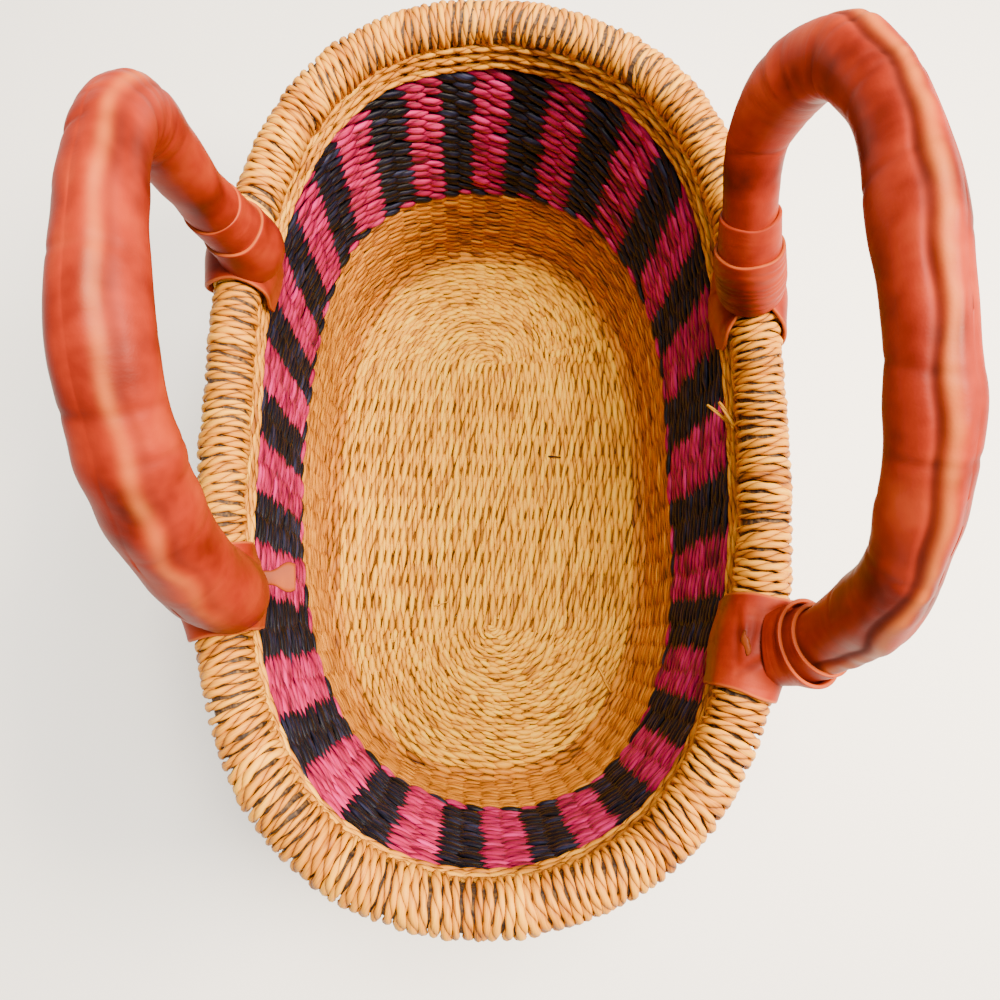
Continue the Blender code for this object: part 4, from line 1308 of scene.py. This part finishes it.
@dataclass(frozen=True)
class Handle:
    """One arch handle: leather tube, cuffs and the two leather feet folded over the rim.

    Attributes:
        side: The long side that it stands on.
        body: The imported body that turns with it.
        feet: Middles of the roll under the near and the far foot, (x, y).
        rise: Height of the arch above the roll's middle.
        radius: Usual radius of the leather tube.
        shares: Rows of the route: share of the span, lean outward and rise as shares of the
            arch's height, and radius as a share of the usual radius.
        saddles: Its near and its far foot.
        cuffs: The bands round its legs.
        seam: Angle of the seam's groove from the tube's outward side up, in degrees.
        ridge: Height of the sewn ridge beside the groove.
        groove: Depth of the groove.
        sewn_low: How strongly the seam shows near the near foot, from 0 to 1.
        tuck: How much more a leg's end narrows on its inner side, to turn clear of the wall.
        lip: Depth of the crease where the near leg's end laps over its foot.
        waist: How much narrower a leg's end is across the rim than along it.
        waist_end: Distance from the foot where that ends.
        foot_level: Height of the roll's middle.
    """

    side: Side
    body: Body
    feet: tuple[tuple[float, float], tuple[float, float]]
    rise: float
    radius: float
    shares: tuple[tuple[float, float, float, float], ...]
    saddles: tuple[SaddleShape, SaddleShape]
    cuffs: tuple[Cuff, ...]
    seam: float
    ridge: float = 1.3
    groove: float = 1.1
    sewn_low: float = 0.0
    tuck: float = 0.24
    lip: float = 0.0
    waist: float = 0.12
    waist_end: float = 16.0
    foot_level: float = 175.0

    def outward(self) -> Array:
        """Level unit vector away from the basket, square to the hinge line."""
        near, far = np.array(self.feet)
        along = unit(far - near)
        return np.array([along[1], -along[0], 0.0]) * self.side.value

    def leg(self, from_far: bool) -> Leg:
        """The middle line, counted from one of its feet."""
        near, far = np.array(self.feet)
        span = np.linalg.norm(far - near)
        along = np.append((far - near) / span, 0.0)
        rows = np.array(self.shares)
        origin = np.append(near, self.foot_level)
        points = (origin + along * (span * rows[:, :1])
                  + self.outward() * (self.rise * rows[:, 1:2]) + UP * self.rise * rows[:, 2:3])
        table = np.concatenate([points, self.radius * rows[:, 3:]], axis=1)
        fine = open_table(table, np.linspace(0.0, len(rows) - 1.0, 24 * (len(rows) - 1) + 1))
        if from_far:
            fine = fine[::-1]
        return Leg(fine[:, :3], fine[:, 3], self.outward())

    def folds(self, leg: Leg, heights: Array, turns: Array) -> Array:
        """Depth of the creases that the leather took where the tube bends.

        Crease k is a valley of depth d exp(-((s - s_k - t_k sin(a - a_k)) / 1.4)^2), with s
        the distance along the leg and a the angle, on the side that faces a_k. The creases
        lie closest where the middle line bends most.

        Args:
            leg: The handle's middle line.
            heights: Distances along it, (rows, 1).
            turns: Angles round it, (rows, columns).

        Returns:
            Depths, (rows, columns).
        """
        draw = np.random.default_rng(51 + self.side.value)
        length = leg.marks()[-1]
        dense = np.linspace(0.0, length, 400)
        axis = leg.frame(dense)[1]
        bend = np.linalg.norm(np.gradient(axis, dense, axis=0), axis=-1)
        weight = np.cumsum(bend**1.5 + 0.02 * (bend**1.5).mean())
        count = 44
        marks = np.interp((np.arange(count) + draw.uniform(0.0, 1.0, count)) / count,
                          weight / weight[-1], dense)
        facing, tilt = draw.uniform(0.0, TAU, count), draw.normal(0.0, 1.6, count)
        depth = draw.uniform(0.08, 0.38, count)
        away = turns[..., None] - facing
        valley = bell(heights[..., None] - marks, tilt * np.sin(away), 1.4)
        return (depth * valley * smooth_step(np.cos(away), -0.35, 0.7)).sum(-1)

    def build_sleeve(self, finish: Material) -> None:
        """Pull the leather tube over the core, its two edges sewn into a lumpy ridge.

        With a the angle from the seam's groove, turned away from the ridge, in degrees, the
        lift is the ridge lump exp(-((a + 24) / 17)^2) less the groove exp(-(a / 7.5)^2), each
        with its own height, and a fainter furrow on the ridge's other side. The lump rises
        and falls between the stitches, and the groove wanders with them. Columns lie closer
        together near the seam than away from it.
        """
        leg = self.leg(False)
        length = leg.marks()[-1]
        draw = np.random.default_rng(31 + self.side.value)
        end_gap, rows, stitch, fade = 2.0, 500, 10.5, (14.0, 60.0)
        seam_from, seam_to, fine, coarse = -50.0, 26.0, 2.0, 4.8
        heights = np.linspace(end_gap, length - end_gap, rows)[:, None]
        sign = -self.side.value
        away = np.concatenate([np.arange(seam_from, seam_to, fine),
                               np.arange(seam_to, seam_from + 360.0, coarse)])[::sign]
        stitches = int(length / stitch)
        along = heights / length * (stitches - 2)
        wander = 4.0 * round_table(draw.normal(0.0, 1.0, stitches), along)
        wander = (wander + 2.0 * np.sin(np.pi * along)) * bell(away, 0.0, 45.0)
        turns = sign * np.radians(self.seam + away[None] + wander)
        lump = 0.72 + 0.28 * np.sin(np.pi * along + 0.8 * np.sin(along * 1.7))**2
        sewn = smooth_step(length - heights, *fade) * np.maximum(
            smooth_step(heights, *fade), self.sewn_low * smooth_step(heights, 10.0, 24.0))
        ridge = self.ridge * sewn * lump * bell(away, -24.0, 17.0)
        groove = bell(away, 0.0, 7.5) * (0.75 + 0.25 * np.sin(along * 2.3)) * sewn
        furrow = bell(away, -52.0, 10.0) * sewn
        overlap = bell(heights, 9.5 + 1.5 * np.sin(turns), 1.1)
        crease = self.folds(leg, heights, turns) + self.lip * overlap * smooth_step(
            -np.cos(turns + 0.25), 0.35, 0.85)
        dents = round_table(draw.normal(0.0, 0.3, 36), heights / length * 34.0)
        lifts = ridge - self.groove * groove - 0.12 * furrow - crease + dents
        lifts = (lifts + 0.3 * np.cos(2.0 * turns + heights / 21.0)
                 + 0.25 * np.cos(3.0 * turns - heights / 13.0))
        spread = np.broadcast_to(heights, turns.shape)
        root = np.minimum(spread, length - spread)
        inner = smooth_step(-np.cos(turns), 0.0, 0.8)
        squeeze = 1.0 - (self.waist + self.tuck * inner) * (
            1.0 - smooth_step(root, 0.0, self.waist_end))
        bend = smooth_step(np.linalg.norm(np.gradient(leg.frame(spread)[1], axis=0), axis=-1)
                           / (heights[1] - heights[0]) * self.radius, 0.1, 0.45)
        # Paler colour along the ridge's flank beside the groove, stronger where the ridge stands
        # higher: partly the lapped cut edge, partly painted highlight on the ridge. Below, the
        # groove and the creases get painted shade.
        edge = 0.55 * bell(away, -16.0, 8.0) * lump * sewn * self.ridge
        hollow = self.groove * 0.62 * bell(away, 1.0, 7.0) * sewn + 0.45 * crease
        surface = leg.shell(
            spread, lifts, turns, squeeze, np.append(away, away[0] + 360.0 * sign) / 360.0,
            {"crease": 0.12 + 0.5 * bend, "edge": edge, "hollow": np.clip(hollow, 0.0, 0.85)})
        side = self.side.name.lower()
        new_piece(side + "_handle_leather", surface, finish, self.body,
                  [side + "_handle_sleeve"])

    def build_cuff(self, cuff: Cuff, finish: Material) -> None:
        """Wrap a band round a leg.

        Args:
            cuff: Its sizes.
            finish: Its material.
        """
        leg = self.leg(cuff.from_far)
        draw = np.random.default_rng(len(cuff.name) * 7 + int(cuff.high))
        turns = TAU * np.arange(96) / 96
        rows, depths = cut_edges(np.array([0.12, 0.03, 0.0, -0.004, 0.0, 0.012, 0.03]),
                                 np.linspace(0.06, 0.94, 48))
        lifts = depths + cuff.lift + cuff.flare * smooth_step(rows, 0.45, 1.0)
        tilt = cuff.slant[0] * np.cos(turns) + cuff.slant[1] * np.sin(turns)
        waver = 0.35 * round_table(draw.normal(0.0, 1.0, 9), turns / TAU * 9.0)
        heights = cuff.low + (cuff.high - cuff.low) * rows[:, None] + (tilt + waver)[None]
        pitches = heights / cuff.fold_pitch
        phase = pitches + 0.5 * np.cos(turns * 2.0 + 1.0) + 0.3 * np.sin(1.7 * pitches + turns)
        inside = smooth_step(rows, 0.05, 0.15) * smooth_step(1.0 - rows, 0.05, 0.15)
        fold = cuff.ridges * np.sin(TAU * phase) * inside[:, None]
        edges = np.where(np.abs(rows - 0.5) > 0.49, cuff.bright, 0.0)
        surface = leg.shell(
            heights, lifts[:, None] + fold, turns[None] + 0.0 * heights,
            1.0 - self.waist * (1.0 - smooth_step(heights, 0.0, self.waist_end)),
            np.arange(len(turns) + 1) / len(turns),
            {"crease": cuff.creases, "edge": edges[:, None]})
        new_piece(cuff.name, surface, finish, self.body, [cuff.node_name])

    def build_saddle(self, shape: SaddleShape, body: BasketBody,
                     finish: Material) -> None:
        """Fold one foot's leather over the roll.

        Across, the sheet follows a circle round the roll from its outer edge over the top to
        the inner side and then runs straight down over the rope rows. Along the rim it ends
        in the shape's reaches. Its radius grows toward the middle, where the leg rises.

        Args:
            shape: The foot's shape.
            body: The basket body.
            finish: The leather.
        """
        draw = np.random.default_rng(len(shape.name) + int(abs(shape.distance)))
        start = -np.radians(shape.outer_angle)
        arc = shape.edge_radius * (np.pi - start)
        drop = self.foot_level - shape.inner_level
        whole = arc + drop
        turned = np.array([0.1, 0.03, 0.0, -0.004, 0.0, 0.012, 0.03])
        v, v_depth = cut_edges(turned, np.linspace(0.05, 0.95, 60))
        u, u_depth = cut_edges(turned[1:] * 0.5, np.linspace(0.03, 0.97, 90))
        steps = len(shape.near) - 1
        near, far = open_table(np.array([shape.near, shape.far]).T, np.clip(u, 0, 1) * steps).T
        waver = 0.3 * round_table(draw.normal(0.0, 1.0, 11), np.clip(u, 0, 1) * 9.0)
        offset = -near[None] + (near + far)[None] * v[:, None] + waver[None]
        y = shape.distance + offset
        dense = np.linspace(-TAU / 4, TAU / 4, 1201)
        if self.side is Side.LEFT:
            dense = np.pi - dense
        line = body.oval.point(dense, body.roll_outset, body.roll_height)
        turn = np.interp(y, line[:, 1], dense)
        centre = body.oval.point(turn, body.roll_outset, body.roll_height)
        outward = body.oval.outward(turn, body.roll_height)
        lift = np.minimum(v_depth[:, None], u_depth[None])
        creased = np.zeros_like(offset)
        for along, bearing, length, width, height, slant in shape.folds:
            rimward = offset - along
            around = u[None] * whole - (np.radians(bearing) - start) * shape.edge_radius
            run = rimward * np.cos(slant) + around * np.sin(slant)
            across = around * np.cos(slant) - rimward * np.sin(slant)
            creased = creased + height * np.exp(-(run / length)**2 - (across / width)**2)
        lift = lift + creased * (lift == 0.0)
        crown = bell(offset, 0.0, 10.0)
        radius = shape.edge_radius + (shape.crown_radius - shape.edge_radius) * crown + lift
        travelled = u[None] * whole + 0.0 * offset
        angle = np.minimum(start + travelled / shape.edge_radius, np.pi)
        below = np.maximum(travelled - arc, 0.0)
        level = radius * np.sin(angle) - below
        lean = (shape.edge_radius - body.roll_outset - 1.9) * smooth_step(below, 0.0, drop)
        reach = radius * np.cos(angle) + np.minimum(lean, 2.2)
        points = centre + outward * reach[..., None] + UP * level[..., None]
        places = np.pad(np.stack([offset, travelled / 60.0], axis=-1), ((0, 1), (0, 1), (0, 0)),
                        mode="edge")
        # Cut edges are paler; the folds' valleys are coloured darker as painted shade.
        edge = np.where((v_depth[:, None] < -0.04) | (u_depth[None] < -0.04), 0.45, 0.0)
        surface = grid(points[None], places[None], (False, False), {
            "crease": 0.5, "edge": edge, "hollow": np.clip(-0.7 * creased, 0.0, 0.6)})
        if self.side is Side.LEFT:
            surface.quads, surface.places = surface.quads[:, ::-1], surface.places[:, ::-1]
        new_piece(shape.name + "_saddle_leather", surface, finish, Body.BASKET,
                  [shape.name + "_saddle"])

    def build(self, body: BasketBody, leather: Material) -> None:
        """Build the sleeve and both saddles."""
        self.build_sleeve(leather)
        for shape in self.saddles:
            self.build_saddle(shape, body, leather)

    def build_cuffs(self, leather: Material) -> None:
        """Build the bands round the legs."""
        for cuff in self.cuffs:
            self.build_cuff(cuff, leather)


def right_handle() -> Handle:
    """The right handle's sizes."""
    return Handle(
        Side.RIGHT, Body.RIGHT_HANDLE, ((91.463, -85.0), (98.451, 48.0)), 114.5, 10.6, (
            (0.000, 0.000, 0.000, 1.04), (0.004, 0.080, 0.085, 1.04), (0.018, 0.126, 0.190, 1.04),
            (0.055, 0.140, 0.350, 1.08), (0.110, 0.126, 0.570, 1.05), (0.200, 0.106, 0.722, 1.00),
            (0.353, 0.067, 0.882, 1.02), (0.516, 0.026, 0.961, 0.95), (0.700, -0.004, 1.000, 1.00),
            (0.895, -0.022, 0.985, 0.98), (1.060, -0.045, 0.932, 0.96), (1.18, -0.088, 0.850, 1.01),
            (1.225, -0.140, 0.700, 1.06), (1.190, -0.163, 0.530, 0.92), (1.11, -0.138, 0.400, 0.87),
            (1.035, -0.092, 0.250, 0.95), (1.008, -0.042, 0.120, 1.00), (1.0, 0.0, 0.0, 1.0)),
        (SaddleShape("right_near", -85.0, (13.0, 16.5, 17.0, 17.0, 17.0, 17.0, 16.0),
                     (13.0, 16.5, 17.0, 17.0, 17.0, 17.0, 16.0), folds=(
                         (2.0, 127.0, 9.0, 1.8, 1.0, 0.12), (1.0, 134.0, 9.0, 1.3, -0.9, 0.15),
                         (1.0, 116.0, 7.0, 1.2, -0.6, -0.1), (-8.5, 112.0, 6.0, 1.4, -0.9, -0.8),
                         (-9.5, 122.0, 6.0, 1.6, 0.6, -0.7), (10.0, 140.0, 6.0, 2.0, 0.5, 0.5))),
         SaddleShape("right_far", 48.0, (15.0, 19.0, 14.0, 7.0, 12.0, 18.0, 14.0),
                     (10.0, 15.0, 15.0, 13.0, 14.0, 15.0, 9.0), crown_radius=13.6,
                     folds=((-9.0, 150.0, 1.3, 8.0, -0.7, 0.2), (4.0, 158.0, 1.4, 9.0, -0.7, -0.2),
                            (-3.0, 150.0, 2.0, 8.0, 0.6, 0.0), (9.0, 140.0, 1.6, 7.0, 0.6, -0.3)))),
        (Cuff("right_near_collar", "right_near_lower_collar", False, 7.0, 23.0, 2.6, 0.5, 0.25,
              flare=1.6, slant=(-2.5, 0.0)),
         Cuff("right_near_mouth", "right_near_upper_collar", False, 20.0, 29.0, 1.5, 0.4, 0.3,
              slant=(-2.0, 0.0)),
         Cuff("right_far_cuff", "right_far_lower_cuff", True, 9.0, 32.0, 2.2, 0.6, 0.4,
              ridges=0.14),
         Cuff("right_far_upper_band", "right_far_upper_cuff", True, 30.0, 45.0, 0.9, 0.4, 0.1,
              slant=(0.0, 1.0))),
        seam=110.0, sewn_low=0.8)


def left_handle() -> Handle:
    """The left handle's sizes."""
    return Handle(
        Side.LEFT, Body.LEFT_HANDLE, ((-97.799, -67.0), (-97.799, 60.0)), 104.0, 11.6, (
            (0.0, 0.0, 0.0, 1.22), (-0.004, -0.055, 0.110, 1.24), (0.004, -0.062, 0.230, 1.23),
            (0.030, -0.048, 0.380, 1.19), (0.084, -0.035, 0.558, 1.14), (0.16, -0.025, 0.720, 1.11),
            (0.290, -0.010, 0.875, 1.07), (0.430, 0.006, 0.968, 1.04), (0.590, 0.016, 1.000, 0.96),
            (0.764, 0.026, 0.990, 0.91), (0.890, 0.034, 0.940, 0.88), (0.966, 0.033, 0.850, 0.91),
            (0.990, 0.026, 0.700, 0.87), (0.993, 0.014, 0.520, 0.83), (0.994, -0.008, 0.360, 0.77),
            (0.996, -0.044, 0.200, 0.81), (0.999, -0.052, 0.095, 0.90), (1.0, 0.0, 0.0, 0.9)),
        (SaddleShape("left_near", -67.0, (12.0, 14.5, 15.0, 15.0, 15.0, 15.0, 13.0),
                     (12.0, 15.5, 17.0, 17.0, 17.0, 17.0, 13.0), crown_radius=14.6,
                     folds=((9.0, 130.0, 1.5, 8.0, -0.7, 0.3), (-9.0, 120.0, 1.6, 8.0, 0.6, -0.3))),
         SaddleShape("left_far", 60.0, (11.0, 13.0, 14.0, 13.0, 13.5, 14.0, 12.5),
                     (10.0, 13.0, 13.5, 13.0, 13.5, 13.0, 6.0), crown_radius=13.4,
                     folds=((-9.0, 140.0, 1.3, 8.0, -0.7, 0.3), (-5.0, 150.0, 1.8, 9.0, 0.6, 0.2),
                            (8.0, 140.0, 1.4, 7.0, -0.6, -0.3)))),
        (Cuff("left_far_cuff", "left_far_lower_cuff", True, 9.0, 27.0, 2.3, 0.3, 0.4,
              flare=0.2, slant=(0.0, 1.0)),
         Cuff("left_far_upper_band", "left_far_upper_cuff", True, 25.0, 41.0, 1.4, 0.4, 0.3)),
        seam=124.0, ridge=0.75, groove=0.4, lip=0.9)


# Room


def hang(data: bpy.types.ID, right: Array, back: Array, place: Array) -> bpy.types.Object:
    """Put a camera or a lamp into the scene.

    Args:
        data: Its data, whose name it takes.
        right: Unit vector to its right.
        back: Unit vector against the way that it faces.
        place: Where it is, in millimetres.

    Returns:
        The object.
    """
    matrix = np.eye(4)
    matrix[:3] = np.stack([right, np.cross(back, right), back, np.asarray(place) * MM], axis=-1)
    item = bpy.data.objects.new(data.name, data)
    item.matrix_world = Matrix(matrix.tolist())
    bpy.context.scene.collection.objects.link(item)
    return item


@dataclass(frozen=True)
class Room:
    """Pale floor, soft light and the camera at the photograph's viewpoint.

    Attributes:
        camera_place: Where the camera is, in millimetres.
        tilt: Its tilt toward the far end, in degrees.
        lean: Its lean to the right, in degrees.
        focal_pixels: Its focal length in pixels of the photograph.
        image_pixels: The photograph's width.
        sensor: Width of the sensor in millimetres.
        surround: Strength of the even light from all round.
        lamps: Name, place, size in millimetres, power in watts and colour of each lamp.
        aim: The point that the lamps face.
        ground_reach: Half of the ground's width in millimetres.
        ground_level: The ground's height, just under the basket.
    """

    camera_place: tuple[float, float, float] = (-10.0, -86.0, 455.0)
    tilt: float = 10.8
    lean: float = 2.2
    focal_pixels: float = 780.0
    image_pixels: float = 1000.0
    sensor: float = 36.0
    surround: float = 0.52
    lamps: tuple[tuple[str, tuple[float, float, float], float, float, str], ...] = (
        ("key_light", (700.0, 20.0, 880.0), 320.0, 36.0, "#ffeace"),
        ("overhead_light", (110.0, 130.0, 1080.0), 420.0, 31.0, "#fff4e2"))
    aim: tuple[float, float, float] = (0.0, 0.0, 50.0)
    ground_reach: float = 3000.0
    ground_level: float = -0.4

    def build_camera(self) -> None:
        """Place the camera: it looks down, tilted to the far end and leaned to the right."""
        tilt, lean = np.radians(self.tilt), np.radians(self.lean)
        right = np.array([np.cos(lean), 0.0, np.sin(lean)])
        up = np.array([-np.sin(lean) * np.sin(tilt), np.cos(tilt), np.cos(lean) * np.sin(tilt)])
        camera = bpy.data.cameras.new("camera")
        camera.sensor_width = self.sensor
        camera.lens = self.focal_pixels / self.image_pixels * self.sensor
        camera.clip_start = 10.0 * MM
        bpy.context.scene.camera = hang(camera, right, np.cross(right, up), self.camera_place)

    def build_lights(self) -> None:
        """Hang two large soft lights and an even pale surround."""
        world = bpy.data.worlds.new("surround")
        world.use_nodes = True
        wire(world.node_tree.nodes["Background"], {
            "Color": linear("#ffffff"), "Strength": self.surround})
        bpy.context.scene.world = world
        for name, place, size, power, colour in self.lamps:
            lamp = bpy.data.lights.new(name, "AREA")
            lamp.size = size * MM
            lamp.energy = power
            lamp.color = linear(colour)[:3]
            back = unit(np.array(place) - self.aim)
            hang(lamp, unit(np.cross([0.0, 1.0, 0.0], back)), back, place)

    def build_ground(self) -> None:
        """Lay the pale ground that the basket stands on."""
        reach, level = self.ground_reach * MM, self.ground_level * MM
        mesh = bpy.data.meshes.new("ground")
        mesh.from_pydata([(x * reach, y * reach, level) for x, y in
                          ((-1, -1), (1, -1), (1, 1), (-1, 1))], [], [(0, 1, 2, 3)])
        material, shader = new_material("matt_white_paper")
        wire(shader, {"Base Color": linear("#fafaf9"), "Roughness": 0.9})
        mesh.materials.append(material)
        item = bpy.data.objects.new("ground", mesh)
        bpy.context.scene.collection.objects.link(item)

    def build(self) -> None:
        """Build camera, lights and ground."""
        self.build_camera()
        self.build_lights()
        self.build_ground()


@dataclass(frozen=True)
class Ties:
    """Ends of the leather ties at the two near feet.

    On the right a twisted tan tip lies along the rim in a fold of the saddle's leather; on
    the left a flat tab stands out into the basket, wider at its end.

    Attributes:
        right_foot: Middle of the roll under the right near foot, in millimetres.
        tip_reach: Distance of the tip from there, square to the rim.
        tip_bearing: Bearing of the tip round the roll, from outward up, in degrees.
        tip_lie: Bearing that its flat side faces, in radians.
        tab_root: Start of the tab.
        tab_run: Way from its start to its end.
        steps: Sections along each.
        sides: Points round a section.
    """

    right_foot: tuple[float, float, float] = (91.5, -85.0, 175.0)
    tip_reach: float = 13.7
    tip_bearing: float = 120.0
    tip_lie: float = 2.15
    tab_root: tuple[float, float, float] = (-87.0, -60.5, 165.5)
    tab_run: tuple[float, float, float] = (12.0, 0.8, -4.0)
    steps: int = 14
    sides: int = 12

    def tip(self) -> Surface:
        """The right tie's tip, a slim spindle round the roll; b is the bearing, outward up."""
        share = np.linspace(-1.0, 1.0, self.steps)
        bulge = np.cos(0.5 * np.pi * share)
        bearing = np.radians(self.tip_bearing + 2.2 * np.sin(3.0 * share))
        path = self.right_foot + np.stack([
            self.tip_reach * np.cos(bearing), 1.0 + 4.3 * share,
            self.tip_reach * np.sin(bearing)], axis=-1)
        across = np.broadcast_to([-np.sin(self.tip_lie), 0.0, np.cos(self.tip_lie)],
                                 (1, self.steps, 3))
        # The tip is coloured darker toward both ends, where it sinks into the fold: painted shade.
        return strands(path[None], across, 0.4 + bulge + 0.2 * np.sin(7.0 * share),
                       0.3 + 0.55 * bulge, self.sides, False,
                       {"crease": 0.9, "edge": 0.1, "hollow": 0.35 * (1.0 - bulge)})

    def tab(self) -> Surface:
        """The left tie's flat tab, narrow at its root and broad near its end."""
        share = np.linspace(0.0, 1.0, self.steps)
        path = self.tab_root + share[:, None] * self.tab_run
        half = 2.7 + 3.0 * smooth_step(share, 0.3, 0.8) - 0.8 * smooth_step(share, 0.85, 1.0)
        rimward = np.broadcast_to([0.0, 1.0, 0.0], (1, self.steps, 3))
        return strands(path[None], rimward, half, 0.65, self.sides, False,
                       {"crease": 0.3, "edge": 0.1, "hollow": 0.0}, roundness=0.5)

    def build(self, tan: Material) -> None:
        """Build the tip and the tab."""
        new_piece("right_near_tie_tip", self.tip(), tan, Body.BASKET,
                  ["right_near_tie_end"])
        new_piece("left_near_tie_tab", self.tab(), tan, Body.BASKET,
                  ["left_near_tie_end"])


@dataclass(frozen=True)
class BundledGrass:
    """Dry grass stems tied into a bundle, the filling of the rim and the handles.

    It shows stems about 1 mm thick, pale on their crowns as painted highlight and dark brown
    between them as painted shade; the whole bundle is coloured dark, as painted shade in the
    gaps between the rim's windings.

    Attributes:
        name: The material's name.
        stops: Colours from the gaps to the crowns.
        stem: Distance between stems in millimetres.
    """

    name: str = "bundled_dry_grass"
    stops: tuple[tuple[float, str], ...] = (
        (0.3, "#180c04"), (0.48, "#3a220a"), (0.62, "#5e3e12"), (0.8, "#805a20"))
    stem: float = 1.6

    def build(self) -> Material:
        """Make the material, which reads Object coordinates."""
        material, shader = new_material(self.name)
        stems = node(material, "TexNoise", inputs={
            "Vector": node(material, "TexCoord").outputs["Object"],
            "Scale": 1.0 / (self.stem * MM), "Detail": 2.0})
        relief = node(material, "Bump", inputs={
            "Height": stems, "Strength": 0.8, "Distance": 0.5 * MM})
        wire(shader, {"Base Color": ramp(material, stems, self.stops), "Roughness": 0.75,
                      "Normal": relief})
        return material


@dataclass(frozen=True)
class LooseEnds:
    """Ends of straw that stick out of the weave, and a dark straw laid in the floor that stands
    for a gap in the weave: painted shade.

    Each row is a straw: start and end in millimetres, half its width, and its tone.
    """

    straws: tuple[tuple[tuple[float, float, float], tuple[float, float, float], float, float],
                  ...] = (
        ((92.0, 0.5, 163.0), (84.0, 9.5, 160.0), 1.0, 0.25),
        ((92.5, -2.0, 166.0), (86.5, 8.5, 167.0), 1.2, 0.1),
        ((63.0, -96.0, 6.6), (69.5, -110.0, 6.2), 0.9, 0.2),
        # This dark straw stands for the shadowed gap in the floor's weave: painted shade.
        ((36.0, 26.5, 5.2), (43.5, 26.0, 5.3), 0.6, -0.6),
        ((-30.0, -62.0, 5.2), (-22.0, -59.5, 5.4), 0.5, 0.2))

    def build(self, finish: Material) -> None:
        """Lay the straws: slightly bowed flat strands."""
        share = np.linspace(0.0, 1.0, 10)
        made = []
        for first, last, half, tone in self.straws:
            start, stop = np.array(first), np.array(last)
            path = start + (stop - start) * share[:, None]
            path[:, 2] += 0.7 * np.sin(np.pi * share)
            across = np.cross(stop - start, [0.0, 0.0, 1.0]) + 0.0 * path
            taper = 1.0 - 0.45 * share
            made.append(strands(path[None], across[None], half * taper[None], 0.4 * half, 6,
                                False, {"tone": tone, "dye": 0.0}))
        new_piece("loose_straw_ends", joined(made), finish, Body.BASKET)


def main() -> None:
    """Build the room and then the basket, piece by piece."""
    logging.basicConfig(level=logging.INFO, format="%(message)s")
    Room().build()
    rim_straw = GrassStrand("twisted_grass_pale", (
        (0.2, "#301202"), (0.42, "#8c4c08"), (0.64, "#c8800e"), (0.96, "#eaac2a")),
        twist=17.0).build()
    # The floor and the lower wall are the same straw as the rim: coloured lighter on the floor as
    # painted light and darker on the lower wall as painted shade.
    floor_straw_lit = GrassStrand("twisted_grass_golden", (
        (0.2, "#401e02"), (0.42, "#a8680a"), (0.64, "#e4a210"), (0.96, "#f8c62c")),
        twist=34.0).build()
    wall_straw_shaded = GrassStrand("twisted_grass_amber", (
        (0.2, "#2c1002"), (0.42, "#824606"), (0.64, "#bc740a"), (0.96, "#de981c")),
        twist=30.0).build()
    # The stakes' finishes are darker than the strands' own colours: painted shade where they show
    # in the slits between strokes.
    stake_straw_shaded = GrassStrand("stake_grass_brown", (
        (0.1, "#3a1c04"), (0.5, "#7a4a12"), (0.9, "#a87424")), roughness=0.8, shine=0.05).build()
    # The dark ramp's palest stop is bluish, reached on pale fibres and ply crowns: painted
    # highlight on the dark strokes.
    dyed_straw = GrassStrand(
        "twisted_grass_dyed",
        ((0.2, "#1e010c"), (0.44, "#620226"), (0.68, "#a4044a"), (1.04, "#d82884")),
        ((0.2, "#020203"), (0.48, "#05050c"), (0.72, "#0b0b1c"), (1.06, "#2e3252")),
        roughness=0.46, shine=0.2, ply_relief=0.3).build()
    stake_dyed_shaded = GrassStrand(
        "stake_grass_dyed", ((0.1, "#1c0209"), (0.9, "#5e0822")),
        ((0.1, "#020203"), (0.9, "#0c0a14")), roughness=0.8, shine=0.05).build()
    body = BasketBody()
    Floor().build(body, floor_straw_lit, stake_straw_shaded)
    body.build_lower_wall(wall_straw_shaded)
    body.build_stakes(stake_straw_shaded, stake_dyed_shaded)
    body.build_border(dyed_straw)
    body.build_band(dyed_straw)
    body.build_rope_rows(rim_straw)
    body.build_rim_wrap(rim_straw)
    LooseEnds().build(rim_straw)
    leather = PolishedLeather("polished_orange_leather", (
        (0.25, "#3c0b03"), (0.42, "#681606"), (0.58, "#86220b"), (0.8, "#a03615"))).build()
    handles = (right_handle(), left_handle())
    for handle in handles:
        handle.build(body, leather)
    for handle in handles:
        handle.build_cuffs(leather)
    tan = PolishedLeather("undyed_leather_edge", (
        (0.25, "#321004"), (0.42, "#642408"), (0.58, "#80340c"), (0.8, "#964614")),
        edge="#8a4416").build()
    Ties().build(tan)
    # The cores are coloured dark: painted shade in the gaps between the windings.
    shaded_bundle = BundledGrass().build()
    for name in ("rim_core", "right_handle_core", "left_handle_core"):
        bpy.data.objects[name].data.materials[0] = shaded_bundle


if __name__ == "__main__":
    main()
